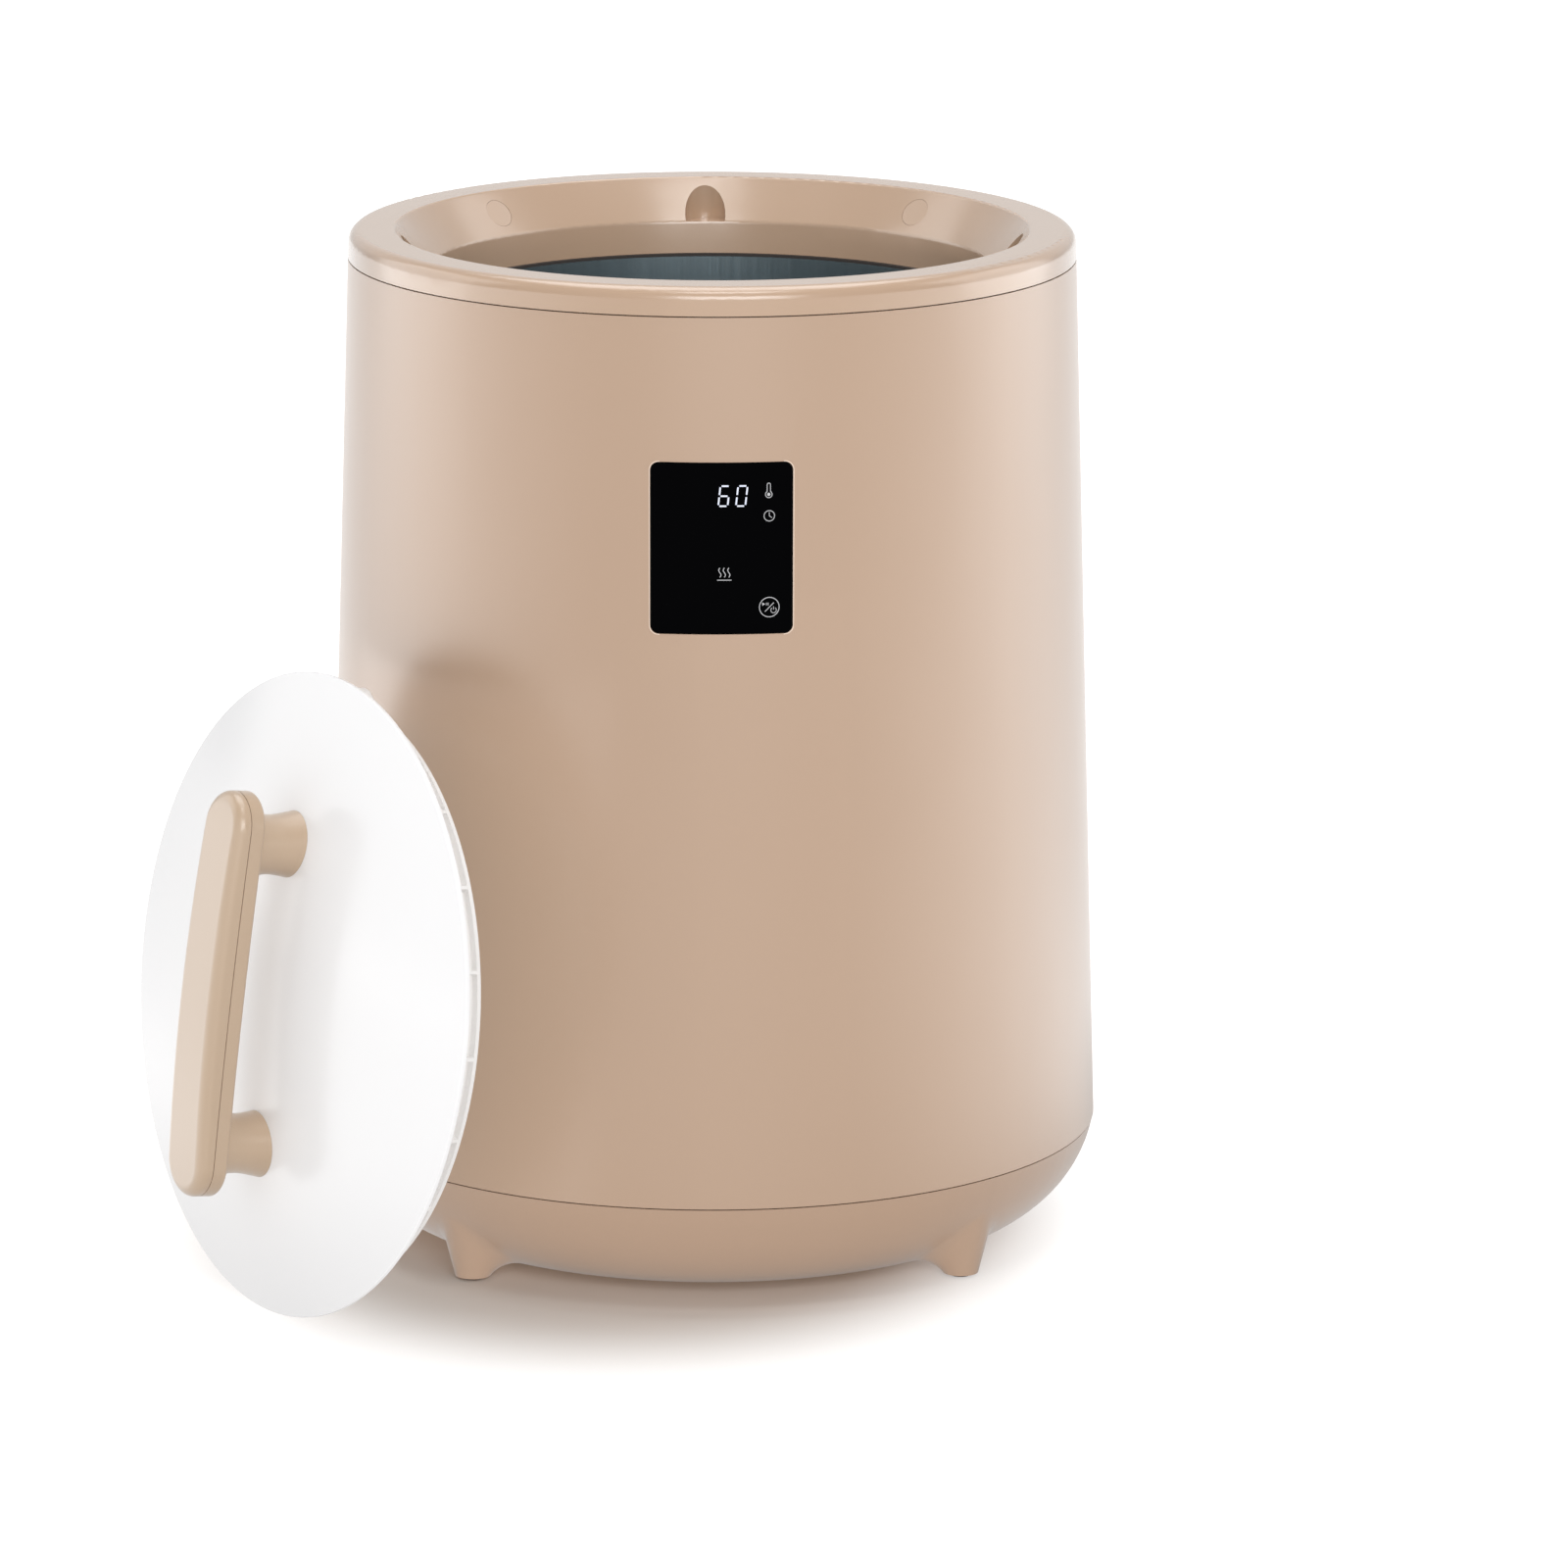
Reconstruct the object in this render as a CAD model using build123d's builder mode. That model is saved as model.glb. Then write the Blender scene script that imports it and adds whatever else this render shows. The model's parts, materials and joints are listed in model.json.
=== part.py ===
from build123d import *
import os
from math import cos, hypot, radians, sin, sqrt, tan

os.makedirs("parts", exist_ok=True)

# Towel warmer bucket, millimetres. The bucket stands on the floor at z = 0 with its axis on Z and
# its control panel facing -Y. The lid is off and leans back on its rim at the bucket's front left,
# with its handle outwards.

# ---------------------------------------------------------------- outer form
total_height = 400.0
seam_height = 43.3            # joint between the body shell and the base shell
ring_side_height = 10.8       # side of the top ring above the body shell
shell_radius_low = 153.5      # outer radius of the body shell at its lower edge
shell_narrowing = 10.6        # its upper edge is this much smaller in radius
shell_wall = 2.5
seam_groove = 0.5             # shadow line at both joints of the body shell
shell_overhang = 0.4          # the body shell stands this much proud of the base shell
fit_gap = 0.3                 # clearance between moulded pieces that nest
close_gap = 0.2               # clearance of a seated or bonded piece

# ---------------------------------------------------------------- top ring
ring_wall = 2.4
ring_lean = 0.35              # draft of the ring's side
ring_edge_fillet = 5.0
rim_width = 18.3              # from the body shell's upper edge in to the funnel
mouth_fillet = 1.4
funnel_width = 12.6           # from the funnel's upper edge in to its lower edge
funnel_depth = 16.4
throat_fillet = 3.0
collar_inset = 1.0            # straight collar below the funnel, inside its lower edge
collar_depth = 29.0           # from the rim to the collar's foot
collar_foot_width = 7.0
collar_foot_thickness = 2.0
skirt_length = 8.0
skirt_wall = 2.2
scallop_count = 4
scallop_radius = 8.15
scallop_inset = 2.4           # from the funnel's upper edge in to a scallop
scallop_wall = 2.2

# ---------------------------------------------------------------- plugs and screws of the ring
plug_count = 4
plug_start_angle = 45.0
plug_radius = 6.0
plug_thickness = 1.8
plug_well_depth = 5.5
plug_well_wall = 2.0
ring_screw_radius = 1.8
ring_screw_length = 11.0
ring_screw_head_radius = 3.4
ring_screw_head_height = 2.4
screw_clearance = 0.05

# ---------------------------------------------------------------- heated bucket and its frame
liner_inset = 3.0             # from the collar in to the inside of the aluminium bucket
liner_wall = 1.0
liner_flange_width = 10.0
liner_floor_height = 66.0
liner_corner = 9.0
gasket_thickness = 1.0
gasket_lip = 0.6              # the gasket starts this far outside the bucket's wall
frame_thickness = 3.0
frame_inner_clearance = 1.2
shelf_width = 5.0
shelf_height = 5.0
frame_block_inset = 1.5
frame_block_depth = 12.5
frame_block_width = 12.0

# ---------------------------------------------------------------- heater and insulation
heater_gap = 0.15
heater_thickness = 1.4
heater_bottom = 110.0
heater_top_gap = 36.0         # below the frame
heater_arc = 340.0
sleeve_gap = 0.6
sleeve_thickness = 9.0
sleeve_top_gap = 4.0
pocket_width = 44.0
pocket_bottom = 122.0
pocket_height = 62.0
thermostat_radius = 8.0
thermostat_height = 9.0
thermostat_x = 10.0
thermostat_z = 152.0
fuse_radius = 2.2
fuse_length = 24.0
fuse_x = -12.0
heat_shield_margin = 10.0     # beyond the inside of the bucket
heat_shield_thickness = 1.2
heat_shield_height = 56.0
felt_inset = 4.0              # from the inside of the bucket

# ---------------------------------------------------------------- base shell and feet
base_wall = 2.8
base_arc_radius = 49.3
base_arc_inset = 48.84        # from the body shell's lower edge in to the arc's middle
base_arc_center_height = 51.5
base_ring_height = 3.4        # lowest ring of the base shell
base_ring_inset = 46.0        # from the body shell's lower edge
base_floor_height = 7.0       # raised middle of the underside
base_step = 3.5
spigot_height = 6.5
spigot_wall = 2.4
foot_count = 4
foot_start_angle = 45.0
foot_inset = 18.5             # from the body shell's lower edge in to the feet's middles
foot_tip_radius = 7.0
foot_top_radius = 19.0
foot_top_height = 30.0
foot_lean = 6.0               # the foot's top is this much nearer to the bucket's axis
foot_flare = 13.0
foot_edge = 0.8
pad_radius = 4.2
pad_height = 1.2
pad_stem_length = 6.0
foot_screw_radius = 1.9
foot_screw_head_radius = 3.6
foot_screw_head_height = 2.6
foot_screw_seat = 20.0
foot_screw_length = 42.0
foot_boss_bottom = 10.0
boss_radius = 6.0
shell_boss_top = 84.0
rib_thickness = 3.0
vent_count = 16
vent_circle_radius = 66.0
vent_length = 26.0
vent_width = 3.2
bare_plate_length = 62.0
bare_plate_width = 34.0
bare_plate_depth = 0.5
pillar_count = 4
pillar_inset = 16.0           # from the inside of the bucket in to the pillars' middles
pillar_radius = 5.0
pillar_screw_radius = 1.5
pillar_screw_length = 12.0
pillar_screw_head_radius = 3.0
pillar_screw_head_height = 2.0

# ---------------------------------------------------------------- control panel
panel_width = 53.8
panel_height = 65.5
panel_corner = 3.2
panel_drop = 55.65            # from the body shell's upper edge down to the panel
panel_thickness = 1.7
panel_proud = 0.3
panel_edge = 0.35
window_margin = 4.0           # ledge that the lens is bonded to
bracket_width = 88.0
bracket_height = 74.0
bracket_setback = 15.78       # from the body shell's face in to the back of the bracket plate
bracket_plate_thickness = 2.0
bracket_corner = 4.0
shield_wall = 1.2
shield_width = 45.2
shield_height = 57.0
bracket_boss_x = 38.0
bracket_boss_z = 31.0
bracket_boss_radius = 3.6
bracket_screw_radius = 1.4
bracket_screw_length = 6.5
bracket_screw_head_radius = 2.7
bracket_screw_head_height = 1.8
board_thickness = 1.6
digit_block_width = 24.0
digit_block_height = 14.0
digit_block_depth = 6.2
digit_block_z = 20.2          # above the panel's middle
digit_block_x = 3.9
touch_pad_radius = 4.0
touch_pad_x = 18.0
touch_pad_z = -22.6           # from the panel's middle

# ---------------------------------------------------------------- power board
power_board_length = 116.0
power_board_width = 84.0
power_board_height = 20.0
standoff_radius = 3.5
standoff_inset = 6.0
board_screw_radius = 1.4
board_screw_head_radius = 2.8
board_screw_head_height = 1.8
board_screw_length = 8.0
transformer_size = (34.0, 28.0, 22.0)
transformer_place = (-32.0, -16.0)
relay_size = (19.0, 15.5, 15.5)
relay_place = (8.0, 16.0)
terminal_size = (26.0, 9.0, 10.0)
terminal_place = (0.0, 33.0)
buzzer_radius = 6.0
buzzer_height = 9.0
buzzer_place = (44.0, -26.0)
capacitor_radius = 6.5
capacitor_height = 20.0
capacitor_places = ((2.0, -20.0), (20.0, -20.0))

# ---------------------------------------------------------------- cord gland
gland_height = 60.0
gland_radius = 6.8
gland_bore_radius = 3.6
gland_flange_radius = 10.0
gland_flange_thickness = 2.5
gland_length = 16.0
nut_radius = 10.5
nut_thickness = 4.0

# ---------------------------------------------------------------- internal leads
lead_radius = 1.2
lead_spacing = 16.0
display_lead_x = 14.5
display_lead_radius = 1.6

# ---------------------------------------------------------------- lid
lid_place = (-162.0, -127.6)  # middle of the lid's rim on plan
lid_turn = 59.3               # direction that the lid's top faces, from -Y towards -X
lid_lean = 7.9                # backward lean of the lid from upright
lid_floor_gap = 0.05
lid_radius = 124.0
lid_crown = 14.5
lid_edge_thickness = 2.0
lid_wall = 2.2
lid_edge_fillet = 0.6
lid_edge_land = 3.7
tray_radius = 114.6
tray_depth = 12.2
tray_floor = 1.5
tray_wall_radius = 110.8
tray_wall = 2.0
tray_rib_count = 22
tray_rib_thickness = 1.4
tray_rib_gap = 0.4
tab_radius = 7.4
tab_reach = 120.0
tab_depth = 16.0
lid_foam_radius = 92.0
lid_foam_thickness = 9.5
lid_boss_circle = 100.0
lid_boss_radius = 4.5
lid_screw_count = 4
lid_screw_radius = 1.5
lid_screw_length = 11.0
lid_screw_head_radius = 3.0
lid_screw_head_height = 1.8
reflector_radius = 104.6
reflector_thickness = 1.0
reflector_pan_radius = 92.0
reflector_pan_depth = 3.0

# ---------------------------------------------------------------- handle
handle_length = 158.0
handle_width = 28.0
handle_top = 45.3             # outer face above the lid's rim
handle_top_bow = 3.6
cover_thickness = 7.6
bar_thickness = 6.6
bar_bow = 1.2
cover_wall = 2.4
cover_fillet = 4.5
bar_fillet = 1.6
tongue_height = 1.6
post_spacing = 117.0
post_foot_radius = 13.4
post_sections = (             # share of the post's height, half its width, half its length
    (0.0, 13.4, 13.4),
    (0.38, 11.7, 11.7),
    (0.72, 11.5, 12.2),
    (1.0, 12.2, 17.5),
)
handle_boss_radius = 8.0
washer_radius = 6.0
washer_thickness = 1.0
handle_screw_radius = 2.0
handle_screw_length = 17.0
handle_screw_head_radius = 3.8
handle_screw_head_height = 2.6
handle_seat_height = 7.3      # face under the lid that the washers bear on

# ---------------------------------------------------------------- levels worked out from the above
shell_bottom = seam_height + seam_groove / 2
shell_top = total_height - ring_side_height
shell_radius_high = shell_radius_low - shell_narrowing
mouth_radius = shell_radius_high - rim_width
throat_radius = mouth_radius - funnel_width
collar_radius = throat_radius - collar_inset
collar_foot_radius = collar_radius + collar_foot_width
scallop_reach = mouth_radius - scallop_inset
liner_radius = collar_radius - liner_inset
heat_shield_radius = liner_radius + heat_shield_margin
felt_radius = liner_radius - felt_inset
pillar_circle_radius = liner_radius - pillar_inset
base_arc_center_radius = shell_radius_low - base_arc_inset
base_ring_radius = shell_radius_low - base_ring_inset
foot_circle_radius = shell_radius_low - foot_inset
shell_taper = shell_narrowing / (shell_top - seam_height)
funnel_bottom = total_height - funnel_depth
collar_bottom = total_height - collar_depth
flange_top = collar_bottom - gasket_thickness
frame_top = flange_top - liner_wall
frame_bottom = frame_top - frame_thickness
heater_top = frame_bottom - heater_top_gap
liner_outer_radius = liner_radius + liner_wall
base_floor_top = base_floor_height + base_wall
power_board_top = power_board_height + board_thickness
panel_center_height = shell_top - panel_drop - panel_height / 2


def shell_radius(z):
    """Outer radius of the body shell at a height."""
    return shell_radius_low - shell_taper * (z - seam_height)


def wall_radius(z):
    """Inner radius of the body shell at a height."""
    return shell_radius(z) - shell_wall


def spokes(count, start, radius):
    """Points spread evenly on a circle about the bucket's axis."""
    angles = [radians(start + 360 * i / count) for i in range(count)]
    return [(radius * cos(a), radius * sin(a)) for a in angles]


def save(part, name):
    """Label a finished piece and write its file."""
    part.label = name
    export_step(part, f"parts/{name}.step")


# ================================================================ panel shapes
# The lens, its recess and its window all follow the tapered round wall.
def panel_slab(width, height, corner, inner_inset, outer_inset):
    """A rounded rectangle cut from a tapered tube lying between two insets from the shell's outside."""
    low = panel_center_height - height
    high = panel_center_height + height
    with BuildPart() as slab:
        with BuildSketch(Plane.XZ):
            with Locations((0, panel_center_height)):
                RectangleRounded(width, height, corner)
        extrude(amount=shell_radius_low + 20)
        with BuildSketch(Plane.XZ):
            with BuildLine():
                Polyline(
                    (shell_radius(low) - inner_inset, low),
                    (shell_radius(low) - outer_inset, low),
                    (shell_radius(high) - outer_inset, high),
                    (shell_radius(high) - inner_inset, high),
                    close=True,
                )
            make_face()
        revolve(axis=Axis.Z, mode=Mode.INTERSECT)
    return slab.part


panel_back = panel_thickness - panel_proud
panel_recess = panel_slab(
    panel_width + 2 * close_gap,
    panel_height + 2 * close_gap,
    panel_corner + close_gap,
    panel_back + close_gap,
    -5,
)
panel_window = panel_slab(
    panel_width - 2 * window_margin, panel_height - 2 * window_margin, panel_corner, 2 * shell_wall, -5
)

# ================================================================ body shell
# Tapered moulded tube with the panel window, a shelf that the frame is pulled up to, four screw
# bosses at its foot, four bosses for the display bracket and a hole for the cord gland.
shelf_bottom = frame_top
shelf_top = shelf_bottom + shelf_height
shelf_radius = wall_radius(shelf_top) - shelf_width
bracket_plate_y = bracket_setback - shell_radius(panel_center_height)  # back face of the bracket plate
bracket_front = bracket_plate_y - bracket_plate_thickness
shell_boss_bottom = seam_height + seam_groove + spigot_height + close_gap
bracket_boss_points = [
    (side * bracket_boss_x, panel_center_height + up * bracket_boss_z) for side in (-1, 1) for up in (-1, 1)
]

middle_wall = shell_wall / 2
with BuildPart() as body_shell:
    # Bosses and ribs come first, trimmed to the middle of the wall that they stand on.
    with BuildSketch(Plane.XY.offset(shell_boss_bottom)):
        with PolarLocations(foot_circle_radius, foot_count, foot_start_angle):
            Circle(boss_radius)
        rib_length = shell_radius_low - foot_circle_radius
        with PolarLocations(foot_circle_radius + rib_length / 2, foot_count, foot_start_angle):
            Rectangle(rib_length, rib_thickness)
    extrude(amount=shell_boss_top - shell_boss_bottom)
    with BuildSketch(Plane.XZ.offset(-bracket_front)):
        with Locations(*bracket_boss_points):
            Circle(bracket_boss_radius)
    extrude(amount=shell_radius_low + bracket_front)
    with BuildSketch(Plane.XZ):
        with BuildLine():
            Polyline(
                (0, shell_bottom),
                (shell_radius(shell_bottom) - middle_wall, shell_bottom),
                (shell_radius(shell_top) - middle_wall, shell_top),
                (0, shell_top),
                close=True,
            )
        make_face()
    revolve(axis=Axis.Z, mode=Mode.INTERSECT)
    with BuildSketch(Plane.XZ):
        with BuildLine():
            Polyline(
                (wall_radius(shell_bottom), shell_bottom),
                (shell_radius(shell_bottom), shell_bottom),
                (shell_radius(shell_top - seam_groove), shell_top - seam_groove),
                (wall_radius(shell_top - seam_groove), shell_top - seam_groove),
                (wall_radius(shelf_top + shelf_width), shelf_top + shelf_width),
                (shelf_radius, shelf_top),
                (shelf_radius, shelf_bottom),
                (wall_radius(shelf_bottom), shelf_bottom),
                close=True,
            )
        make_face()
    revolve(axis=Axis.Z)
    add(panel_recess, mode=Mode.SUBTRACT)
    add(panel_window, mode=Mode.SUBTRACT)
    with BuildSketch(Plane.XY.offset(shell_boss_bottom)):
        with PolarLocations(foot_circle_radius, foot_count, foot_start_angle):
            Circle(foot_screw_radius + screw_clearance)
    extrude(amount=foot_screw_seat + foot_screw_length + 2 - shell_boss_bottom, mode=Mode.SUBTRACT)
    with BuildSketch(Plane.XZ.offset(-bracket_front)):
        with Locations(*bracket_boss_points):
            Circle(bracket_screw_radius + screw_clearance)
    extrude(amount=bracket_screw_length - bracket_plate_thickness + 1, mode=Mode.SUBTRACT)
    with BuildSketch(Plane.XZ.offset(-shell_radius_low - 5)):
        with Locations((0, gland_height)):
            Circle(gland_radius + close_gap)
    extrude(amount=20, mode=Mode.SUBTRACT)
save(body_shell.part, "body_shell")

# ================================================================ control panel
# Black lens bonded in the shell's recess; it is touched through, so nothing on it travels.
panel_lens_part = panel_slab(panel_width, panel_height, panel_corner, panel_back, -panel_proud)
with BuildPart() as panel_lens:
    add(panel_lens_part)
    outer_face = panel_lens.faces().sort_by(Axis.Y)[0]
    chamfer(outer_face.edges(), panel_edge)
save(panel_lens.part, "panel_lens")

# Bracket behind the window: a plate on four bosses with a light shield round the display board.
shield_half = shield_width / 2 + shield_wall
shield_top = panel_center_height + shield_height / 2 + shield_wall
shield_length = sqrt(wall_radius(shield_top) ** 2 - shield_half**2) + bracket_front - fit_gap
with BuildPart() as display_bracket:
    with BuildSketch(Plane.XZ.offset(-bracket_plate_y)):
        with Locations((0, panel_center_height)):
            RectangleRounded(bracket_width, bracket_height, bracket_corner)
    extrude(amount=bracket_plate_thickness)
    with BuildSketch(Plane.XZ.offset(-bracket_front)):
        with Locations((0, panel_center_height)):
            Rectangle(shield_width + 2 * shield_wall, shield_height + 2 * shield_wall)
            Rectangle(shield_width, shield_height, mode=Mode.SUBTRACT)
    extrude(amount=shield_length)
    with BuildSketch(Plane.XZ.offset(-bracket_plate_y)):
        with Locations((0, panel_center_height)):
            Rectangle(shield_width - 10, shield_height - 10)
        with Locations(*bracket_boss_points):
            Circle(bracket_screw_radius + close_gap)
    extrude(amount=bracket_plate_thickness, mode=Mode.SUBTRACT)
save(display_bracket.part, "display_bracket")

with BuildPart() as bracket_screws:
    with BuildSketch(Plane.XZ.offset(-bracket_plate_y)):
        with Locations(*bracket_boss_points):
            Circle(bracket_screw_radius)
    extrude(amount=bracket_screw_length)
    with BuildSketch(Plane.XZ.offset(-bracket_plate_y)):
        with Locations(*bracket_boss_points):
            Circle(bracket_screw_head_radius)
    extrude(amount=-bracket_screw_head_height)
save(bracket_screws.part, "bracket_screws")

# Display board on the bracket plate, with the digit block and the conductive touch pad that
# reaches the back of the lens.
board_front = bracket_front - board_thickness
lens_back = shell_radius(panel_center_height) - panel_thickness + panel_proud
with BuildPart() as display_board:
    with BuildSketch(Plane.XZ.offset(-bracket_front)):
        with Locations((0, panel_center_height)):
            Rectangle(shield_width - 2 * close_gap, shield_height - 2 * close_gap)
    extrude(amount=board_thickness)
save(display_board.part, "display_board")

with BuildPart() as digit_module:
    with BuildSketch(Plane.XZ.offset(-board_front)):
        with Locations((digit_block_x, panel_center_height + digit_block_z)):
            Rectangle(digit_block_width, digit_block_height)
    extrude(amount=digit_block_depth)
    chamfer(digit_module.edges().filter_by(Axis.Y), 0.6)
save(digit_module.part, "digit_module")

touch_length = sqrt(lens_back**2 - (touch_pad_x + touch_pad_radius) ** 2) + board_front - fit_gap
with BuildPart() as touch_pad:
    with BuildSketch(Plane.XZ.offset(-board_front)):
        with Locations((touch_pad_x, panel_center_height + touch_pad_z)):
            Circle(touch_pad_radius)
    extrude(amount=touch_length)
save(touch_pad.part, "touch_pad")

# ================================================================ top ring
# Moulded funnel rim: side wall, flat top, funnel, collar, and a skirt inside the body shell.
# Four scallops take the lid's tabs and four wells take the screws and their plugs.
funnel_run = mouth_radius - throat_radius
funnel_slant = sqrt(funnel_run**2 + funnel_depth**2)
back_run = ring_wall * funnel_depth / funnel_slant
back_drop = ring_wall * funnel_run / funnel_slant
ring_underside = total_height - ring_wall
ring_top_radius = shell_radius_high - ring_lean
skirt_radius = wall_radius(shell_top) - fit_gap
side_inner_radius = ring_top_radius - ring_wall


def plug_plane(index, depth):
    """Plane square to the funnel's slope at a plug, sunk by a depth, facing the bucket's axis."""
    angle = radians(plug_start_angle + 360 * index / plug_count)
    slope_r = -funnel_depth / funnel_slant
    slope_z = funnel_run / funnel_slant
    radius = throat_radius + funnel_run / 2 - depth * slope_r
    height = funnel_bottom + funnel_depth / 2 - depth * slope_z
    return Plane(
        origin=(radius * cos(angle), radius * sin(angle), height),
        x_dir=(-sin(angle), cos(angle), 0),
        z_dir=(slope_r * cos(angle), slope_r * sin(angle), slope_z),
    )


well_bottom = plug_well_depth + plug_well_wall
scallop_centre = scallop_reach - scallop_radius
back_top_radius = mouth_radius + back_run - (ring_wall - back_drop) * funnel_run / funnel_depth
half_run = back_run / 2
half_drop = back_drop / 2
with BuildPart() as top_ring:
    # Cups behind the scallops and the wells, trimmed to the middle of the funnel's wall.
    with BuildSketch(Plane.XY.offset(funnel_bottom - scallop_wall)):
        with PolarLocations(scallop_centre, scallop_count):
            Circle(scallop_radius + scallop_wall)
    extrude(amount=ring_underside - funnel_bottom + scallop_wall + ring_wall / 2)
    for i in range(plug_count):
        with BuildSketch(plug_plane(i, 0)):
            Circle(plug_radius + close_gap / 2 + plug_well_wall)
        extrude(amount=-well_bottom)
    with BuildSketch(Plane.XZ):
        with BuildLine():
            Polyline(
                (0, collar_bottom),
                (collar_radius + ring_wall / 2, collar_bottom),
                (throat_radius + half_run, funnel_bottom - half_drop),
                (mouth_radius + half_run, total_height - half_drop),
                (mouth_radius + half_run, total_height + 5),
                (0, total_height + 5),
                close=True,
            )
        make_face()
    revolve(axis=Axis.Z, mode=Mode.SUBTRACT)
    with BuildSketch(Plane.XZ) as ring_section:
        with BuildLine():
            Polyline(
                (shell_radius_high, shell_top),
                (ring_top_radius, total_height),
                (mouth_radius, total_height),
                (throat_radius, funnel_bottom),
                (collar_radius, collar_bottom),
                (collar_foot_radius, collar_bottom),
                (collar_foot_radius, collar_bottom + collar_foot_thickness),
                (collar_radius + ring_wall, collar_bottom + collar_foot_thickness),
                (throat_radius + back_run, funnel_bottom - back_drop),
                (back_top_radius, ring_underside),
                (side_inner_radius, ring_underside),
                (side_inner_radius, shell_top + 2 * ring_wall),
                (skirt_radius - skirt_wall, shell_top + ring_wall),
                (skirt_radius - skirt_wall, shell_top - skirt_length),
                (skirt_radius, shell_top - skirt_length),
                (skirt_radius, shell_top),
                close=True,
            )
        make_face()
        fillet(ring_section.vertices().sort_by_distance((ring_top_radius, total_height))[0], ring_edge_fillet)
        fillet(ring_section.vertices().sort_by_distance((mouth_radius, total_height))[0], mouth_fillet)
        fillet(ring_section.vertices().sort_by_distance((throat_radius, funnel_bottom))[0], throat_fillet)
    revolve(axis=Axis.Z)
    with BuildSketch(Plane.XY.offset(funnel_bottom)):
        with PolarLocations(scallop_centre, scallop_count):
            Circle(scallop_radius)
    extrude(amount=funnel_depth + 5, mode=Mode.SUBTRACT)
    for i in range(plug_count):
        with BuildSketch(plug_plane(i, -2)):
            Circle(plug_radius + close_gap / 2)
        extrude(amount=-plug_well_depth - 2, mode=Mode.SUBTRACT)
        with BuildSketch(plug_plane(i, 0)):
            Circle(ring_screw_radius + close_gap)
        extrude(amount=-well_bottom - 2, mode=Mode.SUBTRACT)
save(top_ring.part, "top_ring")

# Plugs: thin discs flush with the funnel, each over one screw.
with BuildPart() as rim_plugs:
    for i in range(plug_count):
        with BuildSketch(plug_plane(i, 0)):
            Circle(plug_radius)
        extrude(amount=-plug_thickness)
save(rim_plugs.part, "rim_plugs")

with BuildPart() as ring_screws:
    for i in range(plug_count):
        with BuildSketch(plug_plane(i, plug_well_depth)):
            Circle(ring_screw_head_radius)
        extrude(amount=ring_screw_head_height)
        with BuildSketch(plug_plane(i, plug_well_depth)):
            Circle(ring_screw_radius)
        extrude(amount=-ring_screw_length)
save(ring_screws.part, "ring_screws")

# ================================================================ frame, gasket and heated bucket
# The frame lies under the shell's shelf and carries the bucket's flange; the ring's screws pull
# ring and frame together with the flange and its gasket between them.
flange_radius = liner_outer_radius + liner_flange_width - 1
frame_inner_radius = liner_outer_radius + frame_inner_clearance
frame_outer_radius = wall_radius(frame_top) - fit_gap
block_radius = flange_radius + frame_block_inset
with BuildPart() as inner_frame:
    with BuildSketch(Plane.XY.offset(frame_bottom)):
        Circle(frame_outer_radius)
        Circle(frame_inner_radius, mode=Mode.SUBTRACT)
    extrude(amount=frame_thickness)
    with BuildSketch(Plane.XY.offset(frame_bottom)):
        with PolarLocations(block_radius + frame_block_depth / 2, plug_count, plug_start_angle):
            Rectangle(frame_block_depth, frame_block_width)
    extrude(amount=total_height - ring_wall - frame_bottom - 6)
    for i in range(plug_count):
        with BuildSketch(plug_plane(i, well_bottom + close_gap)):
            Rectangle(60, 60)
        extrude(amount=40, mode=Mode.SUBTRACT)
        with BuildSketch(plug_plane(i, well_bottom)):
            Circle(ring_screw_radius + screw_clearance)
        extrude(amount=-ring_screw_length - 1, mode=Mode.SUBTRACT)
save(inner_frame.part, "inner_frame")

with BuildPart() as rim_gasket:
    with BuildSketch(Plane.XY.offset(flange_top)):
        Circle(flange_radius)
        Circle(liner_radius + gasket_lip, mode=Mode.SUBTRACT)
    extrude(amount=gasket_thickness)
save(rim_gasket.part, "rim_gasket")

with BuildPart() as inner_bucket:
    with BuildSketch(Plane.XZ) as bucket_section:
        with BuildLine():
            Polyline(
                (0, liner_floor_height),
                (liner_outer_radius, liner_floor_height),
                (liner_outer_radius, frame_top),
                (flange_radius, frame_top),
                (flange_radius, flange_top),
                (liner_radius, flange_top),
                (liner_radius, liner_floor_height + liner_wall),
                (0, liner_floor_height + liner_wall),
                close=True,
            )
        make_face()
        outer_corner = bucket_section.vertices().sort_by_distance((liner_outer_radius, liner_floor_height))[0]
        fillet(outer_corner, liner_corner + liner_wall)
        inner_corner = bucket_section.vertices().sort_by_distance((liner_radius, liner_floor_height + 1))[0]
        fillet(inner_corner, liner_corner)
    revolve(axis=Axis.Z)
save(inner_bucket.part, "inner_bucket")

# ================================================================ heater, sensor, fuse and insulation
# A heating band is wrapped round the bucket and open at the back, where the thermostat and the
# thermal fuse touch the metal inside a pocket of the insulation sleeve.
heater_inner = liner_outer_radius + heater_gap
heater_outer = heater_inner + heater_thickness
heater_start = radians(90 + (360 - heater_arc) / 2)
heater_section = Plane(
    origin=(0, 0, 0),
    x_dir=(cos(heater_start), sin(heater_start), 0),
    z_dir=(sin(heater_start), -cos(heater_start), 0),
)
with BuildPart() as heating_band:
    with BuildSketch(heater_section):
        with Locations(((heater_inner + heater_outer) / 2, (heater_bottom + heater_top) / 2)):
            Rectangle(heater_thickness, heater_top - heater_bottom)
    revolve(axis=Axis.Z, revolution_arc=heater_arc)
save(heating_band.part, "heating_band")

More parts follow.
